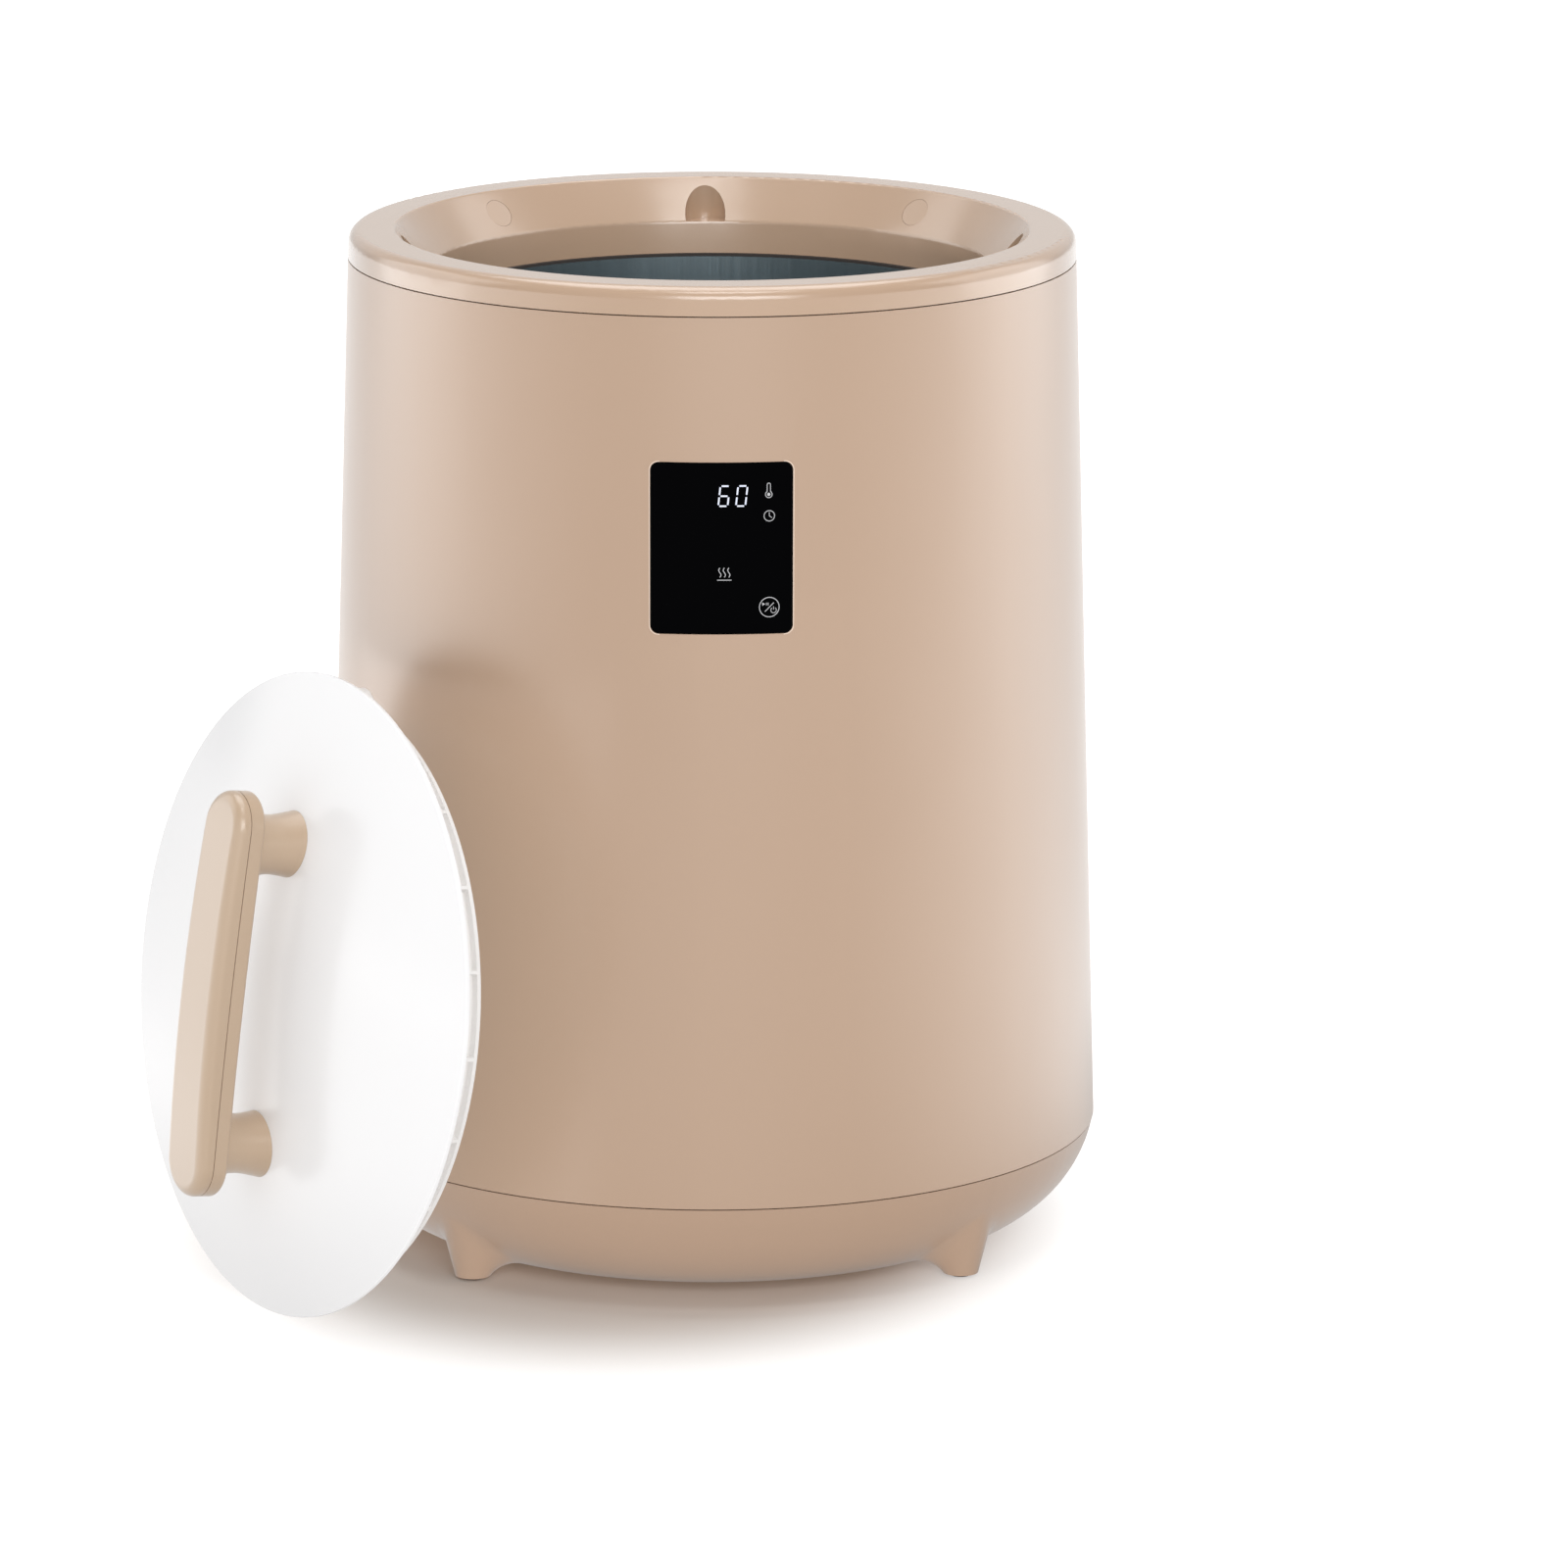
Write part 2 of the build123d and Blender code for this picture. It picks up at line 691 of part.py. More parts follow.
sleeve_inner = heater_outer + sleeve_gap
sleeve_outer = sleeve_inner + sleeve_thickness
sleeve_bottom = heat_shield_height + heat_shield_thickness
with BuildPart() as insulation_sleeve:
    with BuildSketch(Plane.XY.offset(sleeve_bottom)):
        Circle(sleeve_outer)
        Circle(sleeve_inner, mode=Mode.SUBTRACT)
    extrude(amount=frame_bottom - sleeve_top_gap - sleeve_bottom)
    with BuildSketch(Plane.XZ.offset(-liner_radius)):
        with Locations((0, pocket_bottom + pocket_height / 2)):
            RectangleRounded(pocket_width, pocket_height, 4)
    extrude(amount=-30, mode=Mode.SUBTRACT)
save(insulation_sleeve.part, "insulation_sleeve")

sensor_face = sqrt(liner_outer_radius**2 - (thermostat_x - 2) ** 2) + 0.3
with BuildPart() as thermostat:
    with BuildSketch(Plane.XZ.offset(-sensor_face)):
        with Locations((thermostat_x, thermostat_z)):
            Circle(thermostat_radius)
    extrude(amount=-thermostat_height)
    with BuildSketch(Plane.XZ.offset(-sensor_face - 2)):
        with Locations((thermostat_x, thermostat_z)):
            SlotOverall(3 * thermostat_radius, 6, rotation=90)
    extrude(amount=-1)
save(thermostat.part, "thermostat")

fuse_y = sqrt(liner_outer_radius**2 - (abs(fuse_x) - fuse_radius) ** 2) + fuse_radius + 0.3
with BuildPart() as thermal_fuse:
    with BuildSketch(Plane.XY.offset(thermostat_z - fuse_length / 2)):
        with Locations((fuse_x, fuse_y)):
            Circle(fuse_radius)
    extrude(amount=fuse_length)
    chamfer(thermal_fuse.edges().filter_by(GeomType.CIRCLE), 0.5)
save(thermal_fuse.part, "thermal_fuse")

# Steel plate on the base shell's pillars, with a felt disc between it and the bucket.
with BuildPart() as heat_shield:
    with BuildSketch(Plane.XY.offset(heat_shield_height)):
        Circle(heat_shield_radius)
        with PolarLocations(pillar_circle_radius, pillar_count):
            Circle(pillar_screw_radius + close_gap, mode=Mode.SUBTRACT)
    extrude(amount=heat_shield_thickness)
save(heat_shield.part, "heat_shield")

with BuildPart() as shield_screws:
    with BuildSketch(Plane.XY.offset(sleeve_bottom)):
        with PolarLocations(pillar_circle_radius, pillar_count):
            Circle(pillar_screw_head_radius)
    extrude(amount=pillar_screw_head_height)
    with BuildSketch(Plane.XY.offset(sleeve_bottom)):
        with PolarLocations(pillar_circle_radius, pillar_count):
            Circle(pillar_screw_radius)
    extrude(amount=-pillar_screw_length)
save(shield_screws.part, "shield_screws")

with BuildPart() as base_felt:
    with BuildSketch(Plane.XY.offset(sleeve_bottom)):
        Circle(felt_radius)
        with PolarLocations(pillar_circle_radius, pillar_count):
            Circle(pillar_screw_head_radius + 1, mode=Mode.SUBTRACT)
    extrude(amount=liner_floor_height - fit_gap - sleeve_bottom)
    chamfer(base_felt.edges().group_by(Axis.Z)[-1].sort_by(SortBy.RADIUS)[-1], 6)
save(base_felt.part, "base_felt")

# ================================================================ base shell
# Shallow bowl on four flared feet, with a spigot inside the body shell, screw bosses over the
# feet, pillars for the heat shield and standoffs for the power board.
base_top = seam_height - seam_groove / 2
base_seam_radius = shell_radius_low - shell_overhang
base_inner_arc = base_arc_radius - base_wall
spigot_radius = wall_radius(base_top + spigot_height) - close_gap


def arc_radius_at(height, arc_radius):
    """Radius from the bucket's axis of a bowl arc at a height."""
    return base_arc_center_radius + sqrt(arc_radius**2 - (base_arc_center_height - height) ** 2)


def bowl_arc(low, high, arc_radius):
    """Lower, middle and upper point of a bowl arc between two heights."""
    middle = (low + high) / 2.6
    return [(arc_radius_at(z, arc_radius), z) for z in (low, middle, high)]


foot_points = spokes(foot_count, foot_start_angle, foot_circle_radius)
foot_top_points = spokes(foot_count, foot_start_angle, foot_circle_radius - foot_lean)


def meets_foot(edge):
    """True for the edge where a foot's cone leaves the bowl."""
    middle = edge.center()
    reach = min(hypot(middle.X - x, middle.Y - y) for x, y in foot_points)
    return reach < foot_top_radius + foot_lean and 2 * pad_height < middle.Z < foot_top_height


standoff_points = [
    (sx * (power_board_length / 2 - standoff_inset), sy * (power_board_width / 2 - standoff_inset))
    for sx in (-1, 1)
    for sy in (-1, 1)
]
outer_arc = bowl_arc(base_ring_height, base_top, base_arc_radius)
inner_low = base_ring_height + base_wall
inner_arc = bowl_arc(inner_low, base_top, base_inner_arc)
with BuildPart() as base_shell:
    with BuildSketch(Plane.XZ):
        with BuildLine():
            Polyline(
                (0, base_top),
                (0, base_floor_height),
                (base_ring_radius - base_step, base_floor_height),
                (base_ring_radius, base_ring_height),
                outer_arc[0],
            )
            ThreePointArc(*outer_arc)
            Line(outer_arc[2], (0, base_top))
        make_face()
    revolve(axis=Axis.Z)
    for (tip_x, tip_y), (top_x, top_y) in zip(foot_points, foot_top_points):
        with BuildSketch(Plane((tip_x, tip_y, pad_height))):
            Circle(foot_tip_radius)
        with BuildSketch(Plane((top_x, top_y, foot_top_height))):
            Circle(foot_top_radius)
        loft()
    foot_joints = [edge for edge in base_shell.edges() if meets_foot(edge)]
    fillet(foot_joints, foot_flare)
    with BuildSketch(Plane.XZ):
        with BuildLine():
            Polyline(
                (0, base_top + 1),
                (0, base_floor_top),
                (base_ring_radius - base_step - base_wall / 2, base_floor_top),
                (base_ring_radius - base_wall / 2, inner_low),
                inner_arc[0],
            )
            ThreePointArc(*inner_arc)
            Polyline(inner_arc[2], (inner_arc[2][0], base_top + 1), (0, base_top + 1))
        make_face()
    revolve(axis=Axis.Z, mode=Mode.SUBTRACT)
    with BuildSketch(Plane.XY.offset(base_top)):
        Circle(spigot_radius)
        Circle(spigot_radius - spigot_wall, mode=Mode.SUBTRACT)
    extrude(amount=spigot_height)
    with BuildSketch(Plane.XY.offset(base_top)):
        Circle(base_seam_radius - base_wall / 2)
        Circle(spigot_radius - spigot_wall, mode=Mode.SUBTRACT)
    extrude(amount=-base_wall)
    with BuildSketch(Plane.XY.offset(foot_boss_bottom)):
        with PolarLocations(foot_circle_radius, foot_count, foot_start_angle):
            Circle(boss_radius)
    extrude(amount=base_top + spigot_height - foot_boss_bottom)
    with BuildSketch(Plane.XY.offset(base_floor_height + base_wall / 2)):
        with PolarLocations(pillar_circle_radius, pillar_count):
            Circle(pillar_radius)
    extrude(amount=heat_shield_height - base_floor_height - base_wall / 2)
    with BuildSketch(Plane.XY.offset(base_floor_height + base_wall / 2)):
        with Locations(*standoff_points):
            Circle(standoff_radius)
    extrude(amount=power_board_height - base_floor_height - base_wall / 2)
    with BuildSketch(Plane.XY.offset(pad_height)):
        with PolarLocations(foot_circle_radius, foot_count, foot_start_angle):
            Circle(pad_radius + close_gap / 2)
    extrude(amount=foot_screw_seat - pad_height, mode=Mode.SUBTRACT)
    with BuildSketch(Plane.XY.offset(foot_screw_seat)):
        with PolarLocations(foot_circle_radius, foot_count, foot_start_angle):
            Circle(foot_screw_radius + close_gap)
    extrude(amount=base_top + spigot_height - foot_screw_seat, mode=Mode.SUBTRACT)
    with BuildSketch(Plane.XY.offset(heat_shield_height)):
        with PolarLocations(pillar_circle_radius, pillar_count):
            Circle(pillar_screw_radius + screw_clearance)
    extrude(amount=-pillar_screw_length, mode=Mode.SUBTRACT)
    with BuildSketch(Plane.XY.offset(power_board_height)):
        with Locations(*standoff_points):
            Circle(board_screw_radius + screw_clearance)
    extrude(amount=board_thickness - board_screw_length - 1, mode=Mode.SUBTRACT)
    with BuildSketch(Plane.XY.offset(base_floor_height)):
        with PolarLocations(vent_circle_radius, vent_count, 180 / vent_count):
            SlotOverall(vent_length, vent_width)
    extrude(amount=base_wall, mode=Mode.SUBTRACT)
    with BuildSketch(Plane.XY.offset(base_floor_height)):
        RectangleRounded(bare_plate_length, bare_plate_width, foot_edge)
    extrude(amount=bare_plate_depth, mode=Mode.SUBTRACT)
save(base_shell.part, "base_shell")

# Rubber pads: a disc under each foot with a stem that fills the screw's well.
with BuildPart() as foot_pads:
    with BuildSketch(Plane.XY):
        with PolarLocations(foot_circle_radius, foot_count, foot_start_angle):
            Circle(pad_radius)
    extrude(amount=pad_height + pad_stem_length)
    chamfer(foot_pads.edges().group_by(Axis.Z)[0], pad_height / 4)
save(foot_pads.part, "foot_pads")

with BuildPart() as foot_screws:
    with BuildSketch(Plane.XY.offset(foot_screw_seat)):
        with PolarLocations(foot_circle_radius, foot_count, foot_start_angle):
            Circle(foot_screw_head_radius)
    extrude(amount=-foot_screw_head_height)
    with BuildSketch(Plane.XY.offset(foot_screw_seat)):
        with PolarLocations(foot_circle_radius, foot_count, foot_start_angle):
            Circle(foot_screw_radius)
    extrude(amount=foot_screw_length)
save(foot_screws.part, "foot_screws")

# ================================================================ power board
with BuildPart() as power_board:
    with BuildSketch(Plane.XY.offset(power_board_height)):
        RectangleRounded(power_board_length, power_board_width, 2)
        with Locations(*standoff_points):
            Circle(board_screw_radius + close_gap, mode=Mode.SUBTRACT)
    extrude(amount=board_thickness)
save(power_board.part, "power_board")

with BuildPart() as board_screws:
    with BuildSketch(Plane.XY.offset(power_board_top)):
        with Locations(*standoff_points):
            Circle(board_screw_head_radius)
    extrude(amount=board_screw_head_height)
    with BuildSketch(Plane.XY.offset(power_board_top)):
        with Locations(*standoff_points):
            Circle(board_screw_radius)
    extrude(amount=-board_screw_length)
save(board_screws.part, "board_screws")

for block_name, (length, width, height), place, edge in (
    ("transformer", transformer_size, transformer_place, 1.5),
    ("relay", relay_size, relay_place, 0.8),
    ("terminal_block", terminal_size, terminal_place, 0.6),
):
    with BuildPart() as block:
        with BuildSketch(Plane.XY.offset(power_board_top)):
            with Locations(place):
                Rectangle(length, width)
        extrude(amount=height)
        chamfer(block.edges().group_by(Axis.Z)[-1], edge)
    save(block.part, block_name)

with BuildPart() as buzzer:
    with BuildSketch(Plane.XY.offset(power_board_top)):
        with Locations(buzzer_place):
            Circle(buzzer_radius)
    extrude(amount=buzzer_height)
    with BuildSketch(Plane.XY.offset(power_board_top + buzzer_height)):
        with Locations(buzzer_place):
            Circle(buzzer_radius / 5)
    extrude(amount=-buzzer_height / 3, mode=Mode.SUBTRACT)
save(buzzer.part, "buzzer")

with BuildPart() as capacitors:
    with BuildSketch(Plane.XY.offset(power_board_top)):
        with Locations(*capacitor_places):
            Circle(capacitor_radius)
    extrude(amount=capacitor_height)
    chamfer(capacitors.edges().group_by(Axis.Z)[-1], 0.8)
save(capacitors.part, "capacitors")

# ================================================================ cord gland
# Bushing through the back of the body shell, held by a nut inside.
gland_face = shell_radius(gland_height) + fit_gap
with BuildPart() as cord_gland:
    with BuildSketch(Plane.XZ.offset(-gland_face)):
        with Locations((0, gland_height)):
            Circle(gland_flange_radius)
    extrude(amount=-gland_flange_thickness)
    chamfer(cord_gland.edges().group_by(Axis.Y)[-1], 1)
    with BuildSketch(Plane.XZ.offset(-gland_face)):
        with Locations((0, gland_height)):
            Circle(gland_radius)
    extrude(amount=gland_length)
    with BuildSketch(Plane.XZ.offset(-gland_face - gland_flange_thickness)):
        with Locations((0, gland_height)):
            Circle(gland_bore_radius)
    extrude(amount=gland_length + gland_flange_thickness, mode=Mode.SUBTRACT)
save(cord_gland.part, "cord_gland")

nut_face = sqrt(wall_radius(gland_height) ** 2 - nut_radius**2) - fit_gap
with BuildPart() as gland_nut:
    with BuildSketch(Plane.XZ.offset(-nut_face)):
        with Locations((0, gland_height)):
            RegularPolygon(nut_radius, 6)
            Circle(gland_radius + screw_clearance, mode=Mode.SUBTRACT)
    extrude(amount=nut_thickness)
save(gland_nut.part, "gland_nut")

# ================================================================ internal leads
# Leads run down the gap between the insulation sleeve and the body shell.
def bend_radii(route):
    """Bend at each inner corner of a route, as large as its two runs allow."""
    points = [Vector(*p) for p in route]
    radii = []
    for before, here, after in zip(points, points[1:], points[2:]):
        first = here - before
        second = after - here
        half_turn = radians(first.get_angle(second)) / 2
        radii.append(0.45 * min(first.length, second.length) / tan(half_turn))
    return radii


def lead(route, radius):
    """A round lead along straight runs joined by bends."""
    with BuildPart() as cable:
        with BuildLine() as path:
            FilletPolyline(*route, radius=bend_radii(route))
        with BuildSketch(Plane(origin=path.wire() @ 0, z_dir=path.wire() % 0)):
            Circle(radius)
        sweep(path=path.wire())
    return cable.part


terminal_back = terminal_place[1] + terminal_size[1] / 2
gap_radius = (sleeve_outer + wall_radius(heater_bottom)) / 2
heater_route = [
    (0, heater_outer + lead_radius + fit_gap, heater_bottom + 22),
    (0, sleeve_outer + 4, heater_bottom + 12),
    (0, gap_radius, heater_bottom - 24),
    (0, gap_radius - 2, heat_shield_height + 8),
    (0, heat_shield_radius - 10, power_board_top + 14),
    (0, terminal_back + 28, power_board_top + 5),
    (0, terminal_back + close_gap, power_board_top + 5),
]
with BuildPart() as heater_leads:
    for side in (-1, 1):
        shift = side * lead_spacing / 2
        add(lead([(x + shift, y, z) for x, y, z in heater_route], lead_radius))
save(heater_leads.part, "heater_leads")

lead_fall = panel_center_height - heat_shield_height
display_route = [
    (0, bracket_front + close_gap, panel_center_height - 20),
    (0, bracket_plate_y + 4, panel_center_height - 20),
    (0, -sleeve_outer - 5, panel_center_height - 0.19 * lead_fall),
    (0, -gap_radius + 2, panel_center_height - 0.35 * lead_fall),
    (0, -gap_radius, panel_center_height - 0.54 * lead_fall),
    (0, -gap_radius - 1, panel_center_height - 0.72 * lead_fall),
    (0, -gap_radius, panel_center_height - 0.89 * lead_fall),
    (0, -heat_shield_radius - 7, heat_shield_height - 2),
    (0, -power_board_width / 2 - 42, power_board_top + 14),
    (0, -power_board_width / 2 - 6, power_board_top + 5),
    (0, -power_board_width / 2 + 10, power_board_top + display_lead_radius + close_gap),
]
display_lead_part = lead([(x + display_lead_x, y, z) for x, y, z in display_route], display_lead_radius)
with BuildPart() as display_lead:
    add(display_lead_part)
save(display_lead.part, "display_lead")

# ================================================================ lid
# The lid's own plane: origin at the middle of its rim, z out of its top, y up along the handle.
turn = radians(lid_turn)
lean = radians(lid_lean)
lid_facing = Vector(-sin(turn) * cos(lean), -cos(turn) * cos(lean), sin(lean))
lid_across = Vector(cos(turn), -sin(turn), 0)
lid_middle_height = lid_radius * cos(lean) + lid_edge_thickness * sin(lean) + lid_floor_gap
lid_rim = Plane(origin=(*lid_place, lid_middle_height), x_dir=lid_across, z_dir=lid_facing)
lid_section = Plane(origin=lid_rim.origin, x_dir=lid_across, z_dir=-lid_rim.y_dir)
lid_side = Plane(origin=lid_rim.origin, x_dir=lid_rim.y_dir, z_dir=lid_across)
lid_axis = Axis(lid_rim.origin, lid_facing)
post_points = [(0, side * post_spacing / 2) for side in (-1, 1)]


def dome_height(radius, rim_radius, crown):
    """Height of a shallow dome above its rim at a radius."""
    ball = (rim_radius**2 + crown**2) / (2 * crown)
    return sqrt(ball**2 - radius**2) - (ball - crown)


def outside_height(radius):
    """Height of the lid's outer face above the rim."""
    return dome_height(radius, lid_radius, lid_crown)


def inside_height(radius):
    """Height of the face under the lid above the rim."""
    rise = lid_crown - lid_wall + lid_edge_thickness
    return dome_height(radius, lid_radius - lid_edge_land, rise) - lid_edge_thickness


tray_level = -tray_depth
tray_floor_level = tray_level + tray_floor
under_radius = lid_radius - lid_edge_land
post_offset = post_spacing / 2

# Domed top plate with bosses for the handle's screws and for the tray's screws.
with BuildPart() as lid_top_plate:
    with BuildSketch(lid_section) as plate_section:
        with BuildLine():
            ThreePointArc(
                (0, lid_crown), (lid_radius / 2, outside_height(lid_radius / 2)), (lid_radius, 0)
            )
            Polyline((lid_radius, 0), (lid_radius, -lid_edge_thickness), (under_radius, -lid_edge_thickness))
            ThreePointArc(
                (under_radius, -lid_edge_thickness),
                (under_radius / 2, inside_height(under_radius / 2)),
                (0, inside_height(0)),
            )
            Line((0, inside_height(0)), (0, lid_crown))
        make_face()
        for level in (0, -lid_edge_thickness):
            fillet(plate_section.vertices().sort_by_distance((lid_radius, level))[0], lid_edge_fillet)
    revolve(axis=lid_axis)
    handle_boss_top = outside_height(post_offset + handle_boss_radius) - fit_gap
    with BuildSketch(lid_rim.offset(handle_seat_height)):
        with Locations(*post_points):
            Circle(handle_boss_radius)
    extrude(amount=handle_boss_top - handle_seat_height)
    lid_boss_top = outside_height(lid_boss_circle + lid_boss_radius) - fit_gap
    with BuildSketch(lid_rim.offset(tray_floor_level)):
        with PolarLocations(lid_boss_circle, lid_screw_count, 180 / lid_screw_count):
            Circle(lid_boss_radius)
    extrude(amount=lid_boss_top - tray_floor_level)
    with BuildSketch(lid_rim.offset(handle_seat_height - 1)):
        with Locations(*post_points):
            Circle(handle_screw_radius + close_gap)
    extrude(amount=lid_crown, mode=Mode.SUBTRACT)
    with BuildSketch(lid_rim.offset(tray_floor_level)):
        with PolarLocations(lid_boss_circle, lid_screw_count, 180 / lid_screw_count):
            Circle(lid_screw_radius + screw_clearance)
    extrude(amount=lid_screw_length - reflector_thickness - tray_floor + 1, mode=Mode.SUBTRACT)
save(lid_top_plate.part, "lid_top_plate")

# Tray under the plate: floor with a flange, a ribbed wall, and two tabs in line with the handle
# that drop into the ring's scallops.
tray_wall_top = inside_height(tray_wall_radius) - fit_gap
rib_length = tray_radius - tray_wall_radius
with BuildPart() as lid_tray:
    with BuildSketch(lid_section):
        with BuildLine():
            Polyline(
                (0, tray_level),
                (tray_radius, tray_level),
                (tray_radius, tray_floor_level),
                (tray_wall_radius, tray_floor_level),
                (tray_wall_radius, tray_wall_top),
                (tray_wall_radius - tray_wall, tray_wall_top),
                (tray_wall_radius - tray_wall, tray_floor_level),
                (0, tray_floor_level),
                close=True,
            )
        make_face()
    revolve(axis=lid_axis)
    with BuildSketch(lid_rim.offset(tray_floor_level)):
        with PolarLocations(tray_wall_radius + (rib_length - tray_wall) / 2, tray_rib_count):
            Rectangle(rib_length + tray_wall, tray_rib_thickness)
    extrude(amount=-lid_edge_thickness - tray_rib_gap - tray_floor_level)
    with BuildSketch(lid_rim.offset(-tab_depth)):
        with PolarLocations(tab_reach - tab_radius, 2, 90):
            Circle(tab_radius)
    extrude(amount=tab_depth - lid_edge_thickness - tray_rib_gap)
    tab_ends = lid_tray.edges().sort_by(lid_axis)[:2]
    fillet(tab_ends, 2)
    with BuildSketch(lid_rim.offset(tray_level)):
        with PolarLocations(lid_boss_circle, lid_screw_count, 180 / lid_screw_count):
            Circle(lid_screw_radius + close_gap)
    extrude(amount=tray_floor, mode=Mode.SUBTRACT)
save(lid_tray.part, "lid_tray")

with BuildPart() as lid_foam:
    with BuildSketch(lid_rim.offset(tray_floor_level + close_gap)):
        Circle(lid_foam_radius)
    extrude(amount=lid_foam_thickness)
save(lid_foam.part, "lid_foam")

# Aluminium reflector pan under the tray, held by the screws that hold the tray.
pan_level = tray_level - reflector_pan_depth
with BuildPart() as lid_reflector:
    with BuildSketch(lid_section):
        with BuildLine():
            Polyline(
                (0, pan_level - reflector_thickness),
                (reflector_pan_radius - 1, pan_level - reflector_thickness),
                (reflector_pan_radius + 1, tray_level - reflector_thickness),
                (reflector_radius, tray_level - reflector_thickness),
                (reflector_radius, tray_level),
                (reflector_pan_radius, tray_level),
                (reflector_pan_radius - 2, pan_level),
                (0, pan_level),
                close=True,
            )
        make_face()
    revolve(axis=lid_axis)
    with BuildSketch(lid_rim.offset(tray_level)):
        with PolarLocations(lid_boss_circle, lid_screw_count, 180 / lid_screw_count):
            Circle(lid_screw_radius + close_gap)
    extrude(amount=-reflector_thickness, mode=Mode.SUBTRACT)
save(lid_reflector.part, "lid_reflector")

with BuildPart() as lid_screws:
    with BuildSketch(lid_rim.offset(tray_level - reflector_thickness)):
        with PolarLocations(lid_boss_circle, lid_screw_count, 180 / lid_screw_count):
            Circle(lid_screw_head_radius)
    extrude(amount=-lid_screw_head_height)
    with BuildSketch(lid_rim.offset(tray_level - reflector_thickness)):
        with PolarLocations(lid_boss_circle, lid_screw_count, 180 / lid_screw_count):
            Circle(lid_screw_radius)
    extrude(amount=lid_screw_length)
save(lid_screws.part, "lid_screws")

# ================================================================ handle
# Bar with two flared posts, and a bowed cover over it that hides the screws' ends.
parting_height = handle_top - cover_thickness
bar_top = parting_height - fit_gap
bar_bottom = parting_height - bar_thickness
half_length = handle_length / 2


def handle_slab(low, low_bow, high, high_bow):
    """A slab between two bowed faces, as wide as the handle and rounded at its ends."""
    reach = half_length + 6
    low_end = low - low_bow * (reach / half_length) ** 2
    high_end = high - high_bow * (reach / half_length) ** 2
    with BuildPart() as slab:
        with BuildSketch(lid_side):
            with BuildLine():
                ThreePointArc((-reach, high_end), (0, high), (reach, high_end))
                Line((reach, high_end), (reach, low_end))
                ThreePointArc((reach, low_end), (0, low), (-reach, low_end))
                Line((-reach, low_end), (-reach, high_end))
            make_face()
        extrude(amount=handle_width, both=True)
        with BuildSketch(lid_rim):
            SlotOverall(handle_length, handle_width, rotation=90)
        extrude(amount=handle_top + 5, mode=Mode.INTERSECT)
    return slab.part


cover_slab = handle_slab(parting_height, bar_bow, handle_top, handle_top_bow)
with BuildPart() as handle_cover:
    add(cover_slab)
    cover_face = handle_cover.faces().sort_by(lid_axis)[-1]
    fillet(cover_face.edges(), cover_fillet)
    with BuildSketch(lid_rim.offset(parting_height - bar_bow - 1)):
        SlotOverall(handle_length - 2 * cover_wall, handle_width - 2 * cover_wall, rotation=90)
    pocket_top = handle_top - handle_top_bow - cover_wall
    extrude(amount=pocket_top - (parting_height - bar_bow - 1), mode=Mode.SUBTRACT)
save(handle_cover.part, "handle_cover")

bar_slab = handle_slab(bar_bottom, bar_bow, bar_top, bar_bow)
tongue_inset = cover_wall + fit_gap
with BuildPart() as handle_base:
    add(bar_slab)
    bar_face = handle_base.faces().sort_by(lid_axis)[0]
    fillet(bar_face.edges(), bar_fillet)
    with BuildSketch(lid_rim.offset(bar_top - bar_bow - 1)):
        SlotOverall(handle_length - 2 * tongue_inset, handle_width - 2 * tongue_inset, rotation=90)
    extrude(amount=tongue_height + bar_bow + 1)
    post_low = outside_height(post_offset + post_foot_radius) - 1
    post_high = bar_bottom + bar_thickness / 3
    for side in (-1, 1):
        for share, across, along in post_sections:
            with BuildSketch(lid_rim.offset(post_low + share * (post_high - post_low))):
                with Locations((0, side * post_offset)):
                    Ellipse(across, along)
        loft()
    with BuildSketch(lid_section):
        with BuildLine():
            ThreePointArc(
                (0, lid_crown + close_gap / 2),
                (lid_radius / 2, outside_height(lid_radius / 2) + close_gap / 2),
                (lid_radius, close_gap / 2),
            )
            Polyline((lid_radius, close_gap / 2), (lid_radius, -1), (0, -1), (0, lid_crown + close_gap / 2))
        make_face()
    revolve(axis=lid_axis, mode=Mode.SUBTRACT)
    with BuildSketch(lid_rim):
        with Locations(*post_points):
            Circle(handle_screw_radius + screw_clearance)
    screw_tip = handle_seat_height - washer_thickness + handle_screw_length
    extrude(amount=screw_tip + 1, mode=Mode.SUBTRACT)
save(handle_base.part, "handle_base")

with BuildPart() as handle_washers:
    with BuildSketch(lid_rim.offset(handle_seat_height)):
        with Locations(*post_points):
            Circle(washer_radius)
            Circle(handle_screw_radius + close_gap, mode=Mode.SUBTRACT)
    extrude(amount=-washer_thickness)
save(handle_washers.part, "handle_washers")

with BuildPart() as handle_screws:
    with BuildSketch(lid_rim.offset(handle_seat_height - washer_thickness)):
        with Locations(*post_points):
            Circle(handle_screw_head_radius)
    extrude(amount=-handle_screw_head_height)
    with BuildSketch(lid_rim.offset(handle_seat_height - washer_thickness)):
        with Locations(*post_points):
            Circle(handle_screw_radius)
    extrude(amount=handle_screw_length)
save(handle_screws.part, "handle_screws")
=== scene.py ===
import json
import math

import bmesh
import bpy
from mathutils import Matrix, Vector
from mathutils.bvhtree import BVHTree


